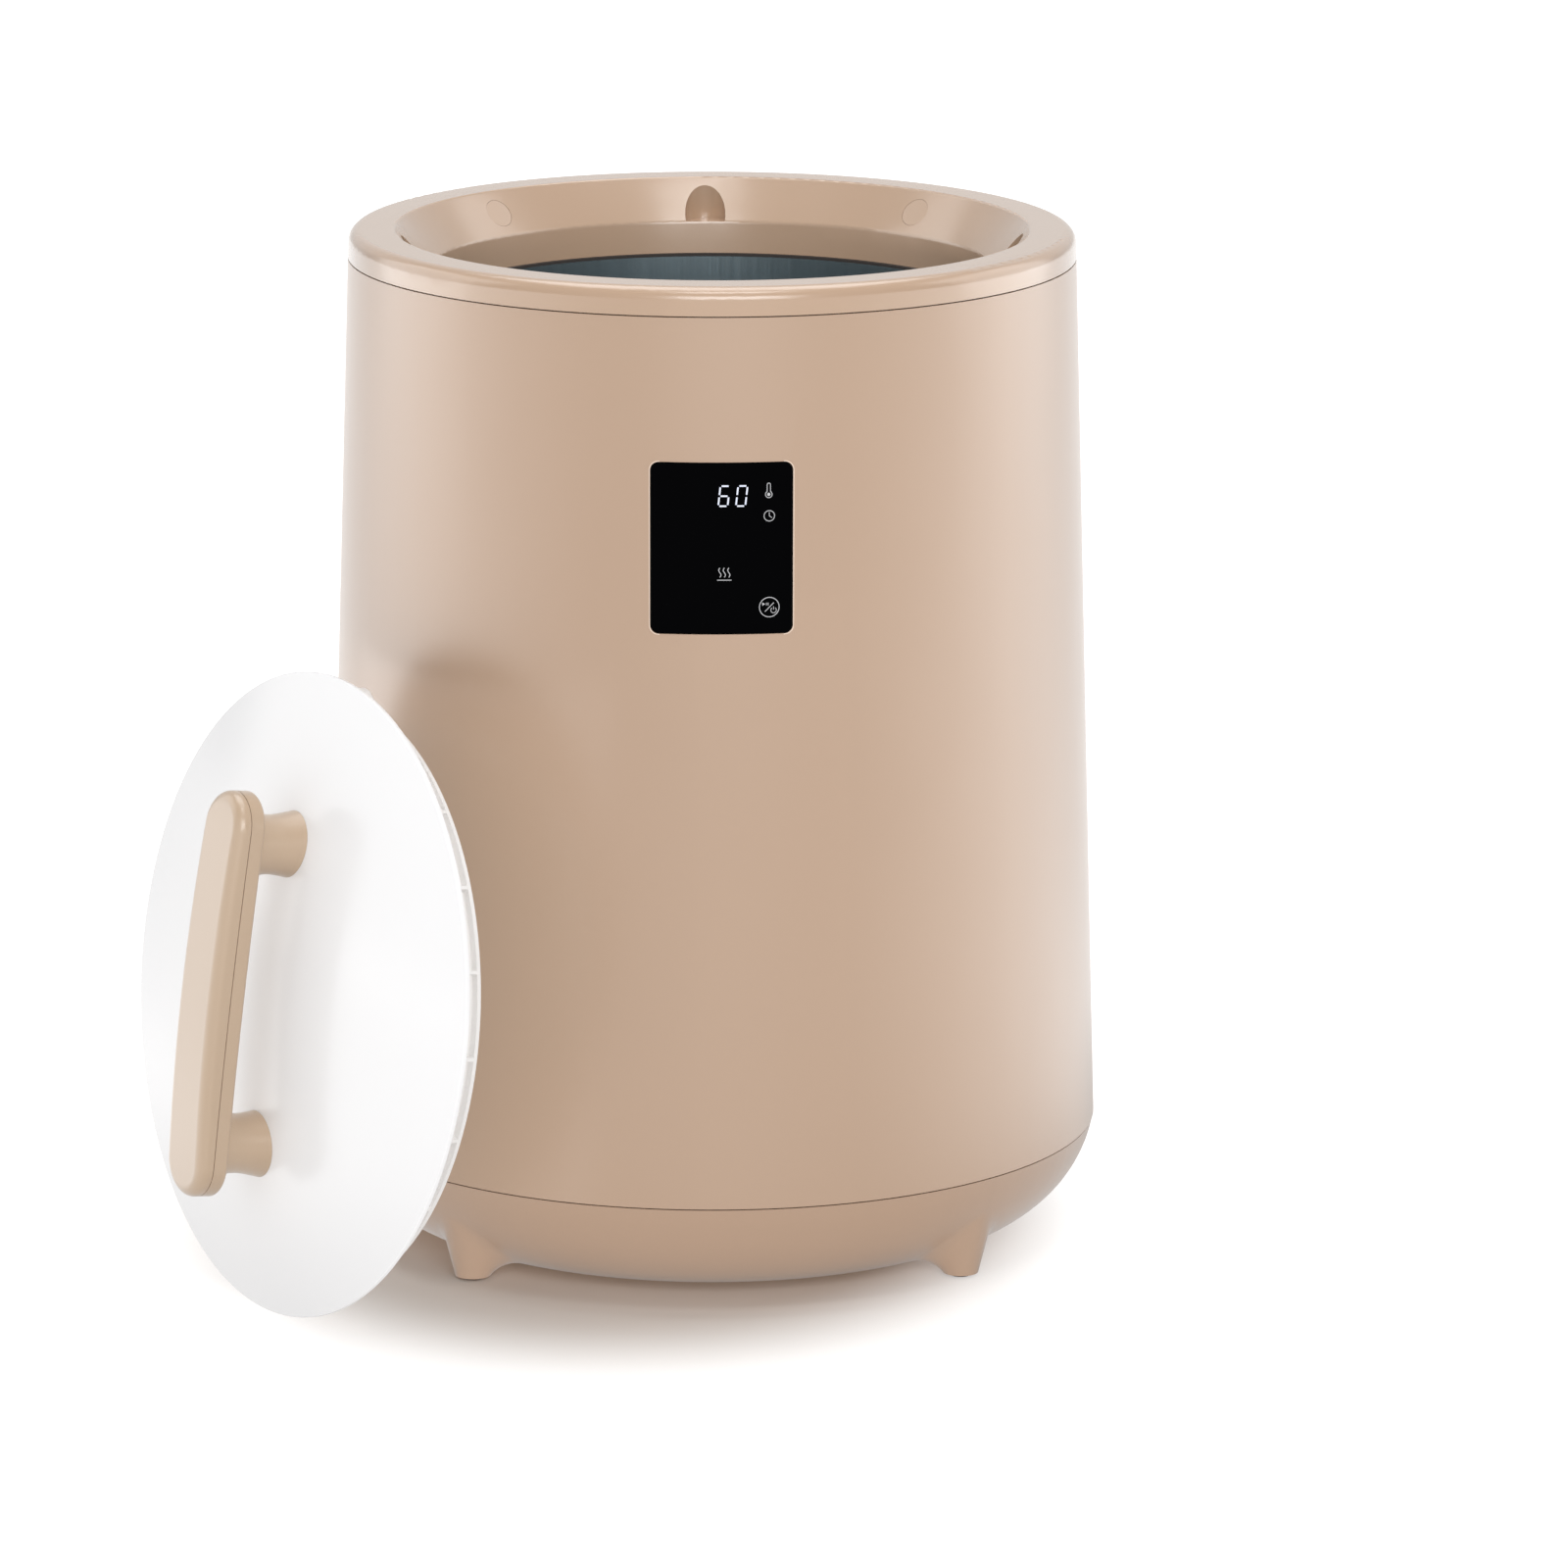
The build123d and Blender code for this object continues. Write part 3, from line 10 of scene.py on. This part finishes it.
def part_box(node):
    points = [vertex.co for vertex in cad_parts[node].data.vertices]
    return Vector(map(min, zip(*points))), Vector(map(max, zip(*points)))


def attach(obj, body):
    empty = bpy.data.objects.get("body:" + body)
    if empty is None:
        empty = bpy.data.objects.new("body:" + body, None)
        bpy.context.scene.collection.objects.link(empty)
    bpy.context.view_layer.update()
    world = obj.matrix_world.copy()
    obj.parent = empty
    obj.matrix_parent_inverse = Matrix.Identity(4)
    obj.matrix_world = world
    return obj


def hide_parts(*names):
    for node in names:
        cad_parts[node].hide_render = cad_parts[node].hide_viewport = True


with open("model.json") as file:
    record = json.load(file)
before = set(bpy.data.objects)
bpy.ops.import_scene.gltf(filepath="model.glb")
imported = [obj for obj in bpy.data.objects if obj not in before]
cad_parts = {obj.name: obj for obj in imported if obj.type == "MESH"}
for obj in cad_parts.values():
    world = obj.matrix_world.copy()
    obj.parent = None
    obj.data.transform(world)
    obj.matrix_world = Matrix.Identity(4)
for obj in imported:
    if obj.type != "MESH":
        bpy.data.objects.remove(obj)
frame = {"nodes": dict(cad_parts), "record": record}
nodes = frame["nodes"]
slot_of = {part["node"]: part["material_slot"] for part in frame["record"]["subparts"]}
carriers = frame["record"]["behaviour"]["bodies"]
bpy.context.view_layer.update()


# ---------------------------------------------------------------- Camera
# The camera stands well back with a long lens, a little above the bucket's rim.
def look_along(obj, place, right, up, forward):
    """Put a camera at a place with its axes along three directions."""
    turn = Matrix((right, up, [-c for c in forward])).transposed().to_4x4()
    obj.matrix_world = Matrix.Translation(place) @ turn


camera_data = bpy.data.cameras.new("camera")
camera_data.sensor_width = 36.0
camera_data.lens = 192.466
camera_data.clip_start = 0.1
camera_data.clip_end = 40.0
camera = bpy.data.objects.new("camera", camera_data)
bpy.context.scene.collection.objects.link(camera)
look_along(
    camera,
    (-0.082815, -3.249255, 0.934430),
    (0.9994310, -0.0335571, 0.0034008),
    (0.0043193, 0.2273310, 0.9738080),
    (0.0334513, 0.9732392, -0.2273466),
)
bpy.context.scene.camera = camera
bpy.context.scene.view_settings.view_transform = "Standard"


# ---------------------------------------------------------------- Lamps
# Two tall softboxes stand level with the bucket and a little behind it, where the glossy shell
# mirrors them along both sides. A far box behind, a wide one overhead and a small one over the
# front edge give the ring its gleams, and a front box above the camera lights the rest.
def softbox(name, place, target, size, brightness):
    """A rectangular lamp that faces a point. At brightness 1 it looks plain white."""
    lamp = bpy.data.lights.new(name, "AREA")
    lamp.shape = "RECTANGLE"
    lamp.size, lamp.size_y = size
    lamp.energy = brightness * math.pi * size[0] * size[1]
    holder = bpy.data.objects.new(name, lamp)
    holder.location = place
    holder.rotation_euler = (Vector(target) - Vector(place)).to_track_quat("-Z", "Y").to_euler()
    bpy.context.scene.collection.objects.link(holder)
    return holder


for name, side in (("softbox_left", -1), ("softbox_right", 1)):
    box = softbox(name, (1.74 * side, 0.4, 0.9), (0, 0, 0.25), (1.6, 1.8), 1.6)
    box.visible_diffuse = False
back_box = softbox("softbox_back", (0.0, 3.2, 1.5), (0, 0, 0.5), (6.0, 2.6), 0.3)
back_box.visible_diffuse = False
back_box.visible_camera = False
softbox("softbox_overhead", (0.0, 0.5, 2.4), (0, 0, 0.2), (2.0, 1.5), 2.9)
softbox("softbox_key", (0.12, -0.95, 2.4), (0, 0, 0.4), (0.85, 0.5), 5.5)
softbox("softbox_front", (0.3, -3.5, 1.5), (0, 0, 0.2), (2.2, 1.6), 5.6)


# ---------------------------------------------------------------- Paper floor and backdrop
# A sheet of white background paper runs under the bucket and out of sight. It takes soft shadows near
# the feet and burns out to plain white further off. For reflected rays it glows in two pools at its
# sides, painted pools of light which the glossy shell mirrors.
class Field:
    """A socket of a material's nodes that works in Python expressions."""

    def __init__(self, socket):
        self.socket = socket

    def math(self, operation, first, second=0.0):
        """A Math node on one or two values."""
        made = self.socket.id_data.nodes.new("ShaderNodeMath")
        made.operation = operation
        for socket, value in zip(made.inputs, (first, second)):
            feed(socket, value)
        return Field(made.outputs[0])

    def __add__(self, other):
        return self.math("ADD", self, other)

    def __rsub__(self, other):
        return self.math("SUBTRACT", other, self)

    def __mul__(self, other):
        return self.math("MULTIPLY", self, other)

    def __rmul__(self, other):
        return self.math("MULTIPLY", other, self)


def feed(socket, value):
    """Set a socket, or link it if the value is a field."""
    if isinstance(value, Field):
        value.socket.id_data.links.new(value.socket, socket)
    else:
        socket.default_value = value


class Finish:
    """A material and the surface that it ends in."""

    def __init__(self, name, **surface):
        self.material = bpy.data.materials.new(name)
        self.material.use_nodes = True
        self.tree = self.material.node_tree
        self.shader = self.tree.nodes["Principled BSDF"]
        self.place = self.node("ShaderNodeTexCoord", output="Object")
        self.surface(**surface)

    def node(self, kind, settings=None, sockets=None, output=0):
        """A node with its settings and its sockets' values or links. Gives one of its outputs."""
        made = self.tree.nodes.new(kind)
        for name, value in (settings or {}).items():
            setattr(made, name, value)
        for name, value in (sockets or {}).items():
            feed(made.inputs[name], value)
        return Field(made.outputs[output])

    def stretched(self, across, along, up):
        """Places scaled by a number for each axis, to draw a pattern out."""
        return self.node(
            "ShaderNodeVectorMath",
            {"operation": "MULTIPLY"},
            {0: self.place, 1: (across, along, up)},
        )

    def noise(self, scale, detail=2.0, place=None):
        """Soft random clouds from 0 to 1, a number of them to the metre."""
        where = place or self.place
        return self.node("ShaderNodeTexNoise", None, {"Vector": where, "Scale": scale, "Detail": detail})

    def between(self, value, low, high, start=0.0, end=1.0):
        """A value that goes smoothly from start to end as another goes from low to high."""
        return self.node(
            "ShaderNodeMapRange",
            {"interpolation_type": "SMOOTHSTEP"},
            {"Value": value, "From Min": low, "From Max": high, "To Min": start, "To Max": end},
        )

    def blend(self, first, second, factor):
        """A colour between two colours. The node's colour sockets are 6 and 7, its output 2."""
        made = self.tree.nodes.new("ShaderNodeMix")
        made.data_type = "RGBA"
        feed(made.inputs["Factor"], factor)
        feed(made.inputs[6], first)
        feed(made.inputs[7], second)
        return Field(made.outputs[2])

    def surface(self, **values):
        """Values or links for the shader's sockets, underscores standing for spaces."""
        for socket, value in values.items():
            feed(self.shader.inputs[socket.replace("_", " ")], value)

    def relief(self, height, strength, distance):
        """Bumps on the surface, from a height field."""
        normal = self.node(
            "ShaderNodeBump", None, {"Height": height, "Strength": strength, "Distance": distance}
        )
        self.surface(Normal=normal)


def tint(red, green, blue):
    """A colour from its 0 to 255 parts as seen on a screen."""
    parts = [c / 255 for c in (red, green, blue)]
    return (*[c / 12.92 if c <= 0.04045 else ((c + 0.055) / 1.055) ** 2.4 for c in parts], 1.0)


def mixed_in(finish, shader, factor):
    """Put another shader over a finish's own, as far as a factor says."""
    mix = finish.node("ShaderNodeMixShader").socket.node
    feed(mix.inputs[0], factor)
    finish.tree.links.new(finish.shader.outputs[0], mix.inputs[1])
    finish.tree.links.new(shader.socket, mix.inputs[2])
    finish.tree.links.new(mix.outputs[0], finish.tree.nodes["Material Output"].inputs["Surface"])


paper_reach = 14.0
paper = Finish("paper", Roughness=0.65)
paper.surface(Base_Color=paper.blend(tint(218, 211, 205), tint(213, 206, 200), paper.noise(6.0)))
looked_at = paper.node("ShaderNodeLightPath", output="Is Camera Ray")
mirrored = paper.node("ShaderNodeLightPath", output="Is Glossy Ray")
bounced = paper.node("ShaderNodeLightPath", output="Is Diffuse Ray")
away = paper.node("ShaderNodeVectorMath", {"operation": "LENGTH"}, {0: paper.place}, "Value")

# The soft shadow near the feet is cast by the lamps, but its reach is painted: the paper's white glow is
# held back round a middle a little to the left, between the bucket and the lid beside it.
shadow_middle = -0.04
shadow_stretch = 1.3
shifted = paper.node(
    "ShaderNodeVectorMath",
    {"operation": "ADD"},
    {0: paper.stretched(shadow_stretch, 1, 1), 1: (-shadow_stretch * shadow_middle, 0, 0)},
)
off_shadow = paper.node("ShaderNodeVectorMath", {"operation": "LENGTH"}, {0: shifted}, "Value")
burnt_out = paper.between(off_shadow, 0.15, 0.26, 0.0, 0.7)
burnt_out += paper.between(off_shadow, 0.24, 0.5, 0.0, 0.3)

# The bearing goes from 0 at the front to pi at the back, and the painted light pools lie at the sides.
across = paper.node("ShaderNodeSeparateXYZ", None, {"Vector": paper.place}, "X")
deep = paper.node("ShaderNodeSeparateXYZ", None, {"Vector": paper.place}, "Y")
bearing = paper.place.math("ARCTAN2", across.math("ABSOLUTE", across), 0.0 - deep)
painted_light_pool = paper.between(bearing, 0.4, 1.45, 0.95, 2.55) * paper.between(bearing, 1.6, 2.5, 1.0, 0.5)
painted_light_pool *= paper.between(away, 0.16, 0.5, 0.3, 1.0)

# Reflections and bounced light find the paper brighter than the camera does.
seen_white = 1.4
bounced_white = 1.2
bounced_share = 0.6
white = {
    "Color": (1, 1, 1, 1),
    "Strength": seen_white * looked_at + painted_light_pool * mirrored + bounced_white * bounced,
}
mixed_in(
    paper,
    paper.node("ShaderNodeEmission", None, white),
    burnt_out * looked_at + mirrored + bounced_share * bounced,
)
paper_mesh = bpy.data.meshes.new("paper")
paper_mesh.from_pydata(
    [(x * paper_reach, y * paper_reach, 0) for x, y in ((-1, -1), (1, -1), (1, 1), (-1, 1))],
    [],
    [(0, 1, 2, 3)],
)
paper_mesh.materials.append(paper.material)
paper_floor = bpy.data.objects.new("paper", paper_mesh)
bpy.context.scene.collection.objects.link(paper_floor)

fill_light = 0.45
seen_extra = 0.6
world = bpy.data.worlds.new("studio")
bpy.context.scene.world = world
world.use_nodes = True
backdrop = world.node_tree.nodes["Background"]
backdrop_seen = Field(world.node_tree.nodes.new("ShaderNodeLightPath").outputs["Is Camera Ray"])
backdrop.inputs["Color"].default_value = (1, 1, 1, 1)
feed(backdrop.inputs["Strength"], seen_extra * backdrop_seen + fill_light)


# ---------------------------------------------------------------- Body shell
# The tall tapered shell is one deep moulding in taupe plastic with an even, half-glossy skin.
# Its colour drifts by a hair over the height, as in any large moulding.
def moulded(name, colour, shade, roughness, coat=0.0, density=1.5):
    """Dyed plastic with faint flow clouds and an orange-peel skin."""
    finish = Finish(name, Coat_Roughness=roughness, Coat_Weight=coat, IOR=density)
    finish.surface(
        Base_Color=finish.blend(colour, shade, finish.noise(7.0, 3.0)),
        Roughness=finish.between(finish.noise(23.0), 0.0, 1.0, 0.96 * roughness, 1.04 * roughness),
    )
    finish.relief(finish.noise(620.0), 0.05, 0.0002)
    return finish


weld_distance = 2e-6
sharp_turn = math.radians(26)


def skin(name, finish):
    """A welded copy of a CAD node with smooth faces, which stands for the node."""
    mesh = nodes[name].data.copy()
    mesh.transform(nodes[name].matrix_world)
    mesh.materials.clear()
    mesh.materials.append(finish.material)
    if mesh.has_custom_normals:
        mesh.attributes.remove(mesh.attributes["custom_normal"])
    shape = bmesh.new()
    shape.from_mesh(mesh)
    bmesh.ops.remove_doubles(shape, verts=shape.verts, dist=weld_distance)
    for face in shape.faces:
        face.smooth = True
    for edge in shape.edges:
        edge.smooth = not edge.is_manifold or edge.calc_face_angle() < sharp_turn
    shape.to_mesh(mesh)
    shape.free()
    obj = bpy.data.objects.new(name + "_skin", mesh)
    bpy.context.scene.collection.objects.link(obj)
    evened = obj.modifiers.new("evened", "WEIGHTED_NORMAL")
    evened.keep_sharp = True
    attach(obj, next(body for body, members in carriers.items() if name in members))
    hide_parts(name)
    return obj


body_plastic = moulded("body_plastic", tint(180, 151, 127), tint(177, 148, 124), 0.34, coat=1.0)
skin("body_shell", body_plastic)


# ---------------------------------------------------------------- Rim ring
# The ring round the mouth has a rounded lip, a sloping funnel with four scoops for the lid's tabs,
# and a low collar. Four round plugs hide its screws.
ring_plastic = moulded("ring_plastic", tint(186, 157, 132), tint(183, 154, 129), 0.24, coat=1.0)
skin("top_ring", ring_plastic)
skin("rim_plugs", ring_plastic)


# ---------------------------------------------------------------- Base
# The base is a shallow bowl with four feet that flare out of it, in the shell's plastic. Each foot
# stands on a small rubber pad.
base_plastic = moulded("base_plastic", tint(182, 152, 128), tint(179, 149, 125), 0.34, coat=1.0)
skin("base_shell", base_plastic)

pad_rubber = moulded("pad_rubber", tint(52, 44, 40), tint(44, 38, 35), 0.7)
skin("foot_pads", pad_rubber)


# ---------------------------------------------------------------- Inner bucket
# The towels stand in a drawn aluminium bucket with a fine upright grain and a dull blue sheen.
liner_metal = Finish("liner_metal", Metallic=1.0, Anisotropic=0.4)
grain = liner_metal.noise(1.0, 3.0, liner_metal.stretched(900.0, 900.0, 14.0))
liner_metal.surface(
    Base_Color=liner_metal.blend(tint(156, 173, 181), tint(162, 179, 186), grain),
    Roughness=liner_metal.between(grain, 0.3, 0.7, 0.35, 0.39),
)
liner_metal.relief(grain, 0.02, 0.0001)
skin("inner_bucket", liner_metal)


# ---------------------------------------------------------------- Control panel
# A black polished lens lies in the shell, a touch proud of it. Its marks are lit from behind: two
# digits for the minutes left, a thermometer, a clock, a heat sign and the touch key.
lens_black = moulded("lens_black", tint(2, 2, 3), tint(4, 4, 5), 0.16, density=1.07)
skin("panel_lens", lens_black)


def lens_depth(x, z):
    """Where the lens's front, or the shell's beside it, lies at a place across and up."""
    return front_of_panel.ray_cast(Vector((x, -1.0, z)), Vector((0.0, 1.0, 0.0)))[0].y


class Print:
    """A thin printed or lit mark on the lens, drawn in millimetres from the lens's middle."""

    def __init__(self, name, finish):
        self.name = name
        self.finish = finish
        self.shape = bmesh.new()

    def patch(self, corners):
        """A filled outline."""
        self.shape.faces.new([self.shape.verts.new((x, 0.0, z)) for x, z in corners])

    def stroke(self, points, width, closed=False):
        """A line of even width through points, with square ends."""
        count = len(points)
        sides = []
        for i, (x, z) in enumerate(points):
            before = points[i - 1] if i or closed else points[0]
            after = points[(i + 1) % count] if i + 1 < count or closed else points[-1]
            run = Vector((after[0] - before[0], after[1] - before[1])).normalized() * width / 2
            sides.append(((x - run.y, z + run.x), (x + run.y, z - run.x)))
        corners = [[self.shape.verts.new((x, 0.0, z)) for x, z in pair] for pair in sides]
        for i in range(count if closed else count - 1):
            (a, b), (c, d) = corners[i], corners[(i + 1) % count]
            self.shape.faces.new((a, b, d, c))

    def finished(self):
        """The mark as a thin solid that lies on the lens."""
        raised = bmesh.ops.extrude_face_region(self.shape, geom=self.shape.faces[:])
        front = {item for item in raised["geom"] if isinstance(item, bmesh.types.BMVert)}
        for vert in self.shape.verts:
            x = vert.co.x * millimetre + lens_middle.x
            z = vert.co.z * millimetre + lens_middle.z
            vert.co = (x, lens_depth(x, z) - (mark_height if vert in front else -mark_height), z)
        bmesh.ops.recalc_face_normals(self.shape, faces=self.shape.faces)
        mesh = bpy.data.meshes.new(self.name)
        self.shape.to_mesh(mesh)
        self.shape.free()
        mesh.materials.append(self.finish.material)
        obj = bpy.data.objects.new(self.name, mesh)
        bpy.context.scene.collection.objects.link(obj)
        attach(obj, "housing")


def arc(middle, radius, start=0.0, turn=360.0, steps=40):
    """Points along an arc, the angles in degrees from the right."""
    angles = [math.radians(start + turn * i / steps) for i in range(steps + (turn < 360.0))]
    return [(middle[0] + radius * math.cos(a), middle[1] + radius * math.sin(a)) for a in angles]


def lit(name, colour, strength):
    """A translucent print with a lamp behind it, a little uneven."""
    finish = Finish(name, Roughness=0.5, Emission_Strength=strength)
    glow = finish.blend(colour, tint(250, 250, 255), finish.noise(900.0))
    finish.surface(Base_Color=tint(60, 60, 62), Emission_Color=glow)
    return finish


front_shape = bmesh.new()
for name in ("body_shell", "panel_lens"):
    front_shape.from_mesh(nodes[name].data)
front_of_panel = BVHTree.FromBMesh(front_shape)
front_shape.free()
lens_low, lens_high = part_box("panel_lens")
lens_middle = (Vector(lens_low) + Vector(lens_high)) / 2
millimetre = 0.001
mark_height = 0.06 * millimetre

# Seven-segment digits, with gaps at the corners and a slight slant.
digit_size = (3.55, 7.65)
digit_slant = 0.11
segment_width = 0.62
segment_gap = 0.46
digit_places = {"6": -1.35, "0": 5.35}
digit_bottom = 16.35
segments = {
    "top": ((0, 2), (1, 2)),
    "upper_left": ((0, 2), (0, 1)),
    "upper_right": ((1, 2), (1, 1)),
    "middle": ((0, 1), (1, 1)),
    "lower_left": ((0, 1), (0, 0)),
    "lower_right": ((1, 1), (1, 0)),
    "bottom": ((0, 0), (1, 0)),
}
dark_segments = {"6": ("upper_right",), "0": ("middle",)}
digits = Print("display_digits", lit("digit_light", tint(214, 226, 255), 1.0))
for digit, left in digit_places.items():
    for segment, ends in segments.items():
        if segment in dark_segments[digit]:
            continue
        first, last = [
            Vector((col * digit_size[0], row * digit_size[1] / 2)) for col, row in ends
        ]
        inward = (last - first).normalized() * segment_gap
        line = [first + inward, last - inward]
        digits.stroke(
            [(left + p.x + digit_slant * p.y, digit_bottom + p.y) for p in line], segment_width
        )
digits.finished()

# The thermometer is a bulb with a stem over it, and the clock a ring with two hands.
thin_line = 0.26
marks = Print("panel_marks", lit("mark_light", tint(226, 226, 226), 0.62))
bulb_x, bulb_z = 17.8, 20.6
stem_half = 0.63
stem_foot = bulb_z + 1.05
marks.stroke(arc((bulb_x, bulb_z), 1.25, 120.0, 300.0), thin_line)
marks.stroke(
    [(bulb_x - stem_half, stem_foot)]
    + arc((bulb_x, bulb_z + 3.7), stem_half, 180.0, -180.0, 12)
    + [(bulb_x + stem_half, stem_foot)],
    thin_line,
)
marks.patch(arc((bulb_x, bulb_z), 0.62))
clock_middle = (18.0, 12.4)
marks.stroke(arc(clock_middle, 2.0), thin_line, closed=True)
marks.stroke([(18.0, 13.8), clock_middle, (19.0, 11.7)], thin_line)

# The heat sign is three waves that rise over a bar.
sign_line = 0.28
wave_steps = 24
wave_foot = -10.9
wave_height = 3.6
wave_swing = 0.42
for middle in (-0.7, 1.0, 2.7):
    wave = [
        (middle + wave_swing * math.sin(2 * math.pi * part), wave_foot + wave_height * part)
        for part in [i / wave_steps for i in range(wave_steps + 1)]
    ]
    marks.stroke(wave, sign_line)
marks.stroke([(-1.7, -12.0), (3.7, -12.0)], sign_line)

# The touch key is a ring round a slash, with a play and pause sign above it and a power sign below.
power_x = 19.7
marks.stroke(arc((18.06, -22.6), 3.75), sign_line, closed=True)
marks.stroke([(16.4, -24.3), (19.8, -20.9)], thin_line)
marks.patch([(15.4, -20.8), (16.5, -21.4), (15.4, -22.0)])
for bar in (17.0, 17.65):
    marks.stroke([(bar, -20.9), (bar, -21.9)], 0.24)
marks.stroke(arc((power_x, -23.8), 1.05, 125.0, 290.0), 0.22)
marks.stroke([(power_x, -22.4), (power_x, -23.6)], 0.22)
marks.finished()

# A fine strip runs round the lens in a much lighter tint than the shell, a painted highlight for the
# light its edge catches.
bevel_width = 0.4
bevel_corner = 3.4
lens_half = (Vector(lens_high) - Vector(lens_low)) / 2 / millimetre
bevel = Print("lens_bevel", moulded("bevel_painted_highlight", tint(228, 208, 190), tint(222, 200, 182), 0.3))
bevel_path = []
reach = bevel_width - bevel_corner
for turn, (side_x, side_z) in enumerate(((1, 1), (-1, 1), (-1, -1), (1, -1))):
    corner = (side_x * (lens_half.x + reach), side_z * (lens_half.z + reach))
    bevel_path += arc(corner, bevel_corner, 90.0 * turn, 90.0, 8)
bevel.stroke(bevel_path, bevel_width, closed=True)
bevel.finished()


# ---------------------------------------------------------------- Lid
# The lid is a shallow glossy white dome. Under it a milky tray with short ribs round its rim
# closes the insulated hollow.
lid_plastic = moulded("lid_plastic", tint(229, 229, 230), tint(227, 227, 228), 0.2, density=1.38)
# The lid's plastic also glows faintly white, painted light that keeps it as white as the paper.
lid_plastic.surface(Emission_Color=tint(255, 255, 255), Emission_Strength=0.08)
skin("lid_top_plate", lid_plastic)

tray_plastic = moulded("tray_plastic", tint(230, 228, 226), tint(224, 222, 220), 0.4)
skin("lid_tray", tray_plastic)


# ---------------------------------------------------------------- Lid handle
# A flared bar on two posts is screwed through the dome. Its outer face is a separate snap-on
# cover, parted from the bar by a fine line.
handle_plastic = moulded("handle_plastic", tint(181, 157, 132), tint(177, 153, 128), 0.34, coat=1.0)
skin("handle_base", handle_plastic)
skin("handle_cover", handle_plastic)


# ---------------------------------------------------------------- Lid lamps
# A shaded lamp lights the lid alone, so that it stays as white as the paper. Another stands in the
# gap behind the lid and lights the housing alone. The front lamps pass the lid by, which keeps its
# shadow on the shell soft and narrow.
lid_lamp = softbox("softbox_lid", (-1.7, -1.6, 0.6), (-0.16, -0.13, 0.12), (2.2, 2.0), 0.6)
lid_pieces = bpy.data.collections.new("lid_pieces")
for name in carriers["lid"]:
    if name + "_skin" in bpy.data.objects:
        lid_pieces.objects.link(bpy.data.objects[name + "_skin"])
lid_lamp.light_linking.receiver_collection = lid_pieces

gap_lamp = softbox("softbox_gap", (-0.135, -0.111, 0.127), (-0.05, -0.061, 0.113), (0.2, 0.225), 0.36)
gap_lamp.visible_camera = False
shaded_pieces = bpy.data.collections.new("shaded_pieces")
for name in ("body_shell", "base_shell"):
    shaded_pieces.objects.link(bpy.data.objects[name + "_skin"])
gap_lamp.light_linking.receiver_collection = shaded_pieces

passed_by = bpy.data.collections.new("passed_by")
for name in carriers["lid"]:
    passed_by.objects.link(bpy.data.objects.get(name + "_skin", nodes[name]))
for item in passed_by.collection_objects:
    item.light_linking.link_state = "EXCLUDE"
for name in ("softbox_front", "softbox_key"):
    bpy.data.objects[name].light_linking.blocker_collection = passed_by


# ---------------------------------------------------------------- Hidden parts
# Inside are the frame, the heater under its felt, the boards and their leads. Each has the plain
# finish of its stock: galvanised steel, needled felt, green lacquer, silicone or moulding powder.
zinc = Finish("zinc", Metallic=1.0)
spangle = zinc.noise(300.0, 3.0)
zinc.surface(
    Base_Color=zinc.blend(tint(176, 178, 180), tint(196, 198, 200), spangle),
    Roughness=zinc.between(spangle, 0.3, 0.7, 0.28, 0.42),
)


def fibrous(name, colour, shade, scale, depth):
    """Felt or foam, with a fluffy surface."""
    finish = Finish(name, Roughness=0.95)
    fluff = finish.noise(scale, 6.0)
    finish.surface(Base_Color=finish.blend(colour, shade, fluff))
    finish.relief(fluff, 0.6, depth)
    return finish


lacquer = Finish("lacquer", Coat_Weight=0.4)
weave = lacquer.noise(1.0, 2.0, lacquer.stretched(1900.0, 500.0, 500.0))
lacquer.surface(
    Base_Color=lacquer.blend(tint(24, 88, 48), tint(34, 104, 58), weave),
    Roughness=lacquer.between(weave, 0.3, 0.7, 0.35, 0.45),
)

finishes = {
    "body_gloss": body_plastic,
    "ring_gloss": ring_plastic,
    "handle_plastic": handle_plastic,
    "lid_white": lid_plastic,
    "tray_white": tray_plastic,
    "panel_black": lens_black,
    "liner_aluminium": liner_metal,
    "dark_rubber": pad_rubber,
    "steel": zinc,
    "felt": fibrous("felt", tint(228, 226, 218), tint(206, 203, 194), 900.0, 0.0008),
    "foam": fibrous("foam", tint(236, 236, 230), tint(220, 220, 212), 1500.0, 0.0003),
    "board_green": lacquer,
    "frame_plastic": moulded("frame_plastic", tint(222, 219, 208), tint(215, 211, 199), 0.5),
    "black_plastic": moulded("black_plastic", tint(34, 34, 35), tint(28, 28, 29), 0.45),
    "heater_silicone": moulded("heater_silicone", tint(176, 82, 52), tint(164, 74, 46), 0.6),
    "component": moulded("component", tint(52, 52, 56), tint(44, 44, 48), 0.4),
    "lead_sheath": moulded("lead_sheath", tint(222, 216, 204), tint(212, 206, 194), 0.5),
    "digits": moulded("digits", tint(66, 66, 70), tint(58, 58, 62), 0.35),
}
for name, node in nodes.items():
    node.data.materials.clear()
    node.data.materials.append(finishes[slot_of[name]].material)

# The few of them that show from outside get the smooth skin of the mouldings.
for name in ("cord_gland", "lid_screws", "foot_screws", "rim_gasket"):
    skin(name, finishes[slot_of[name]])
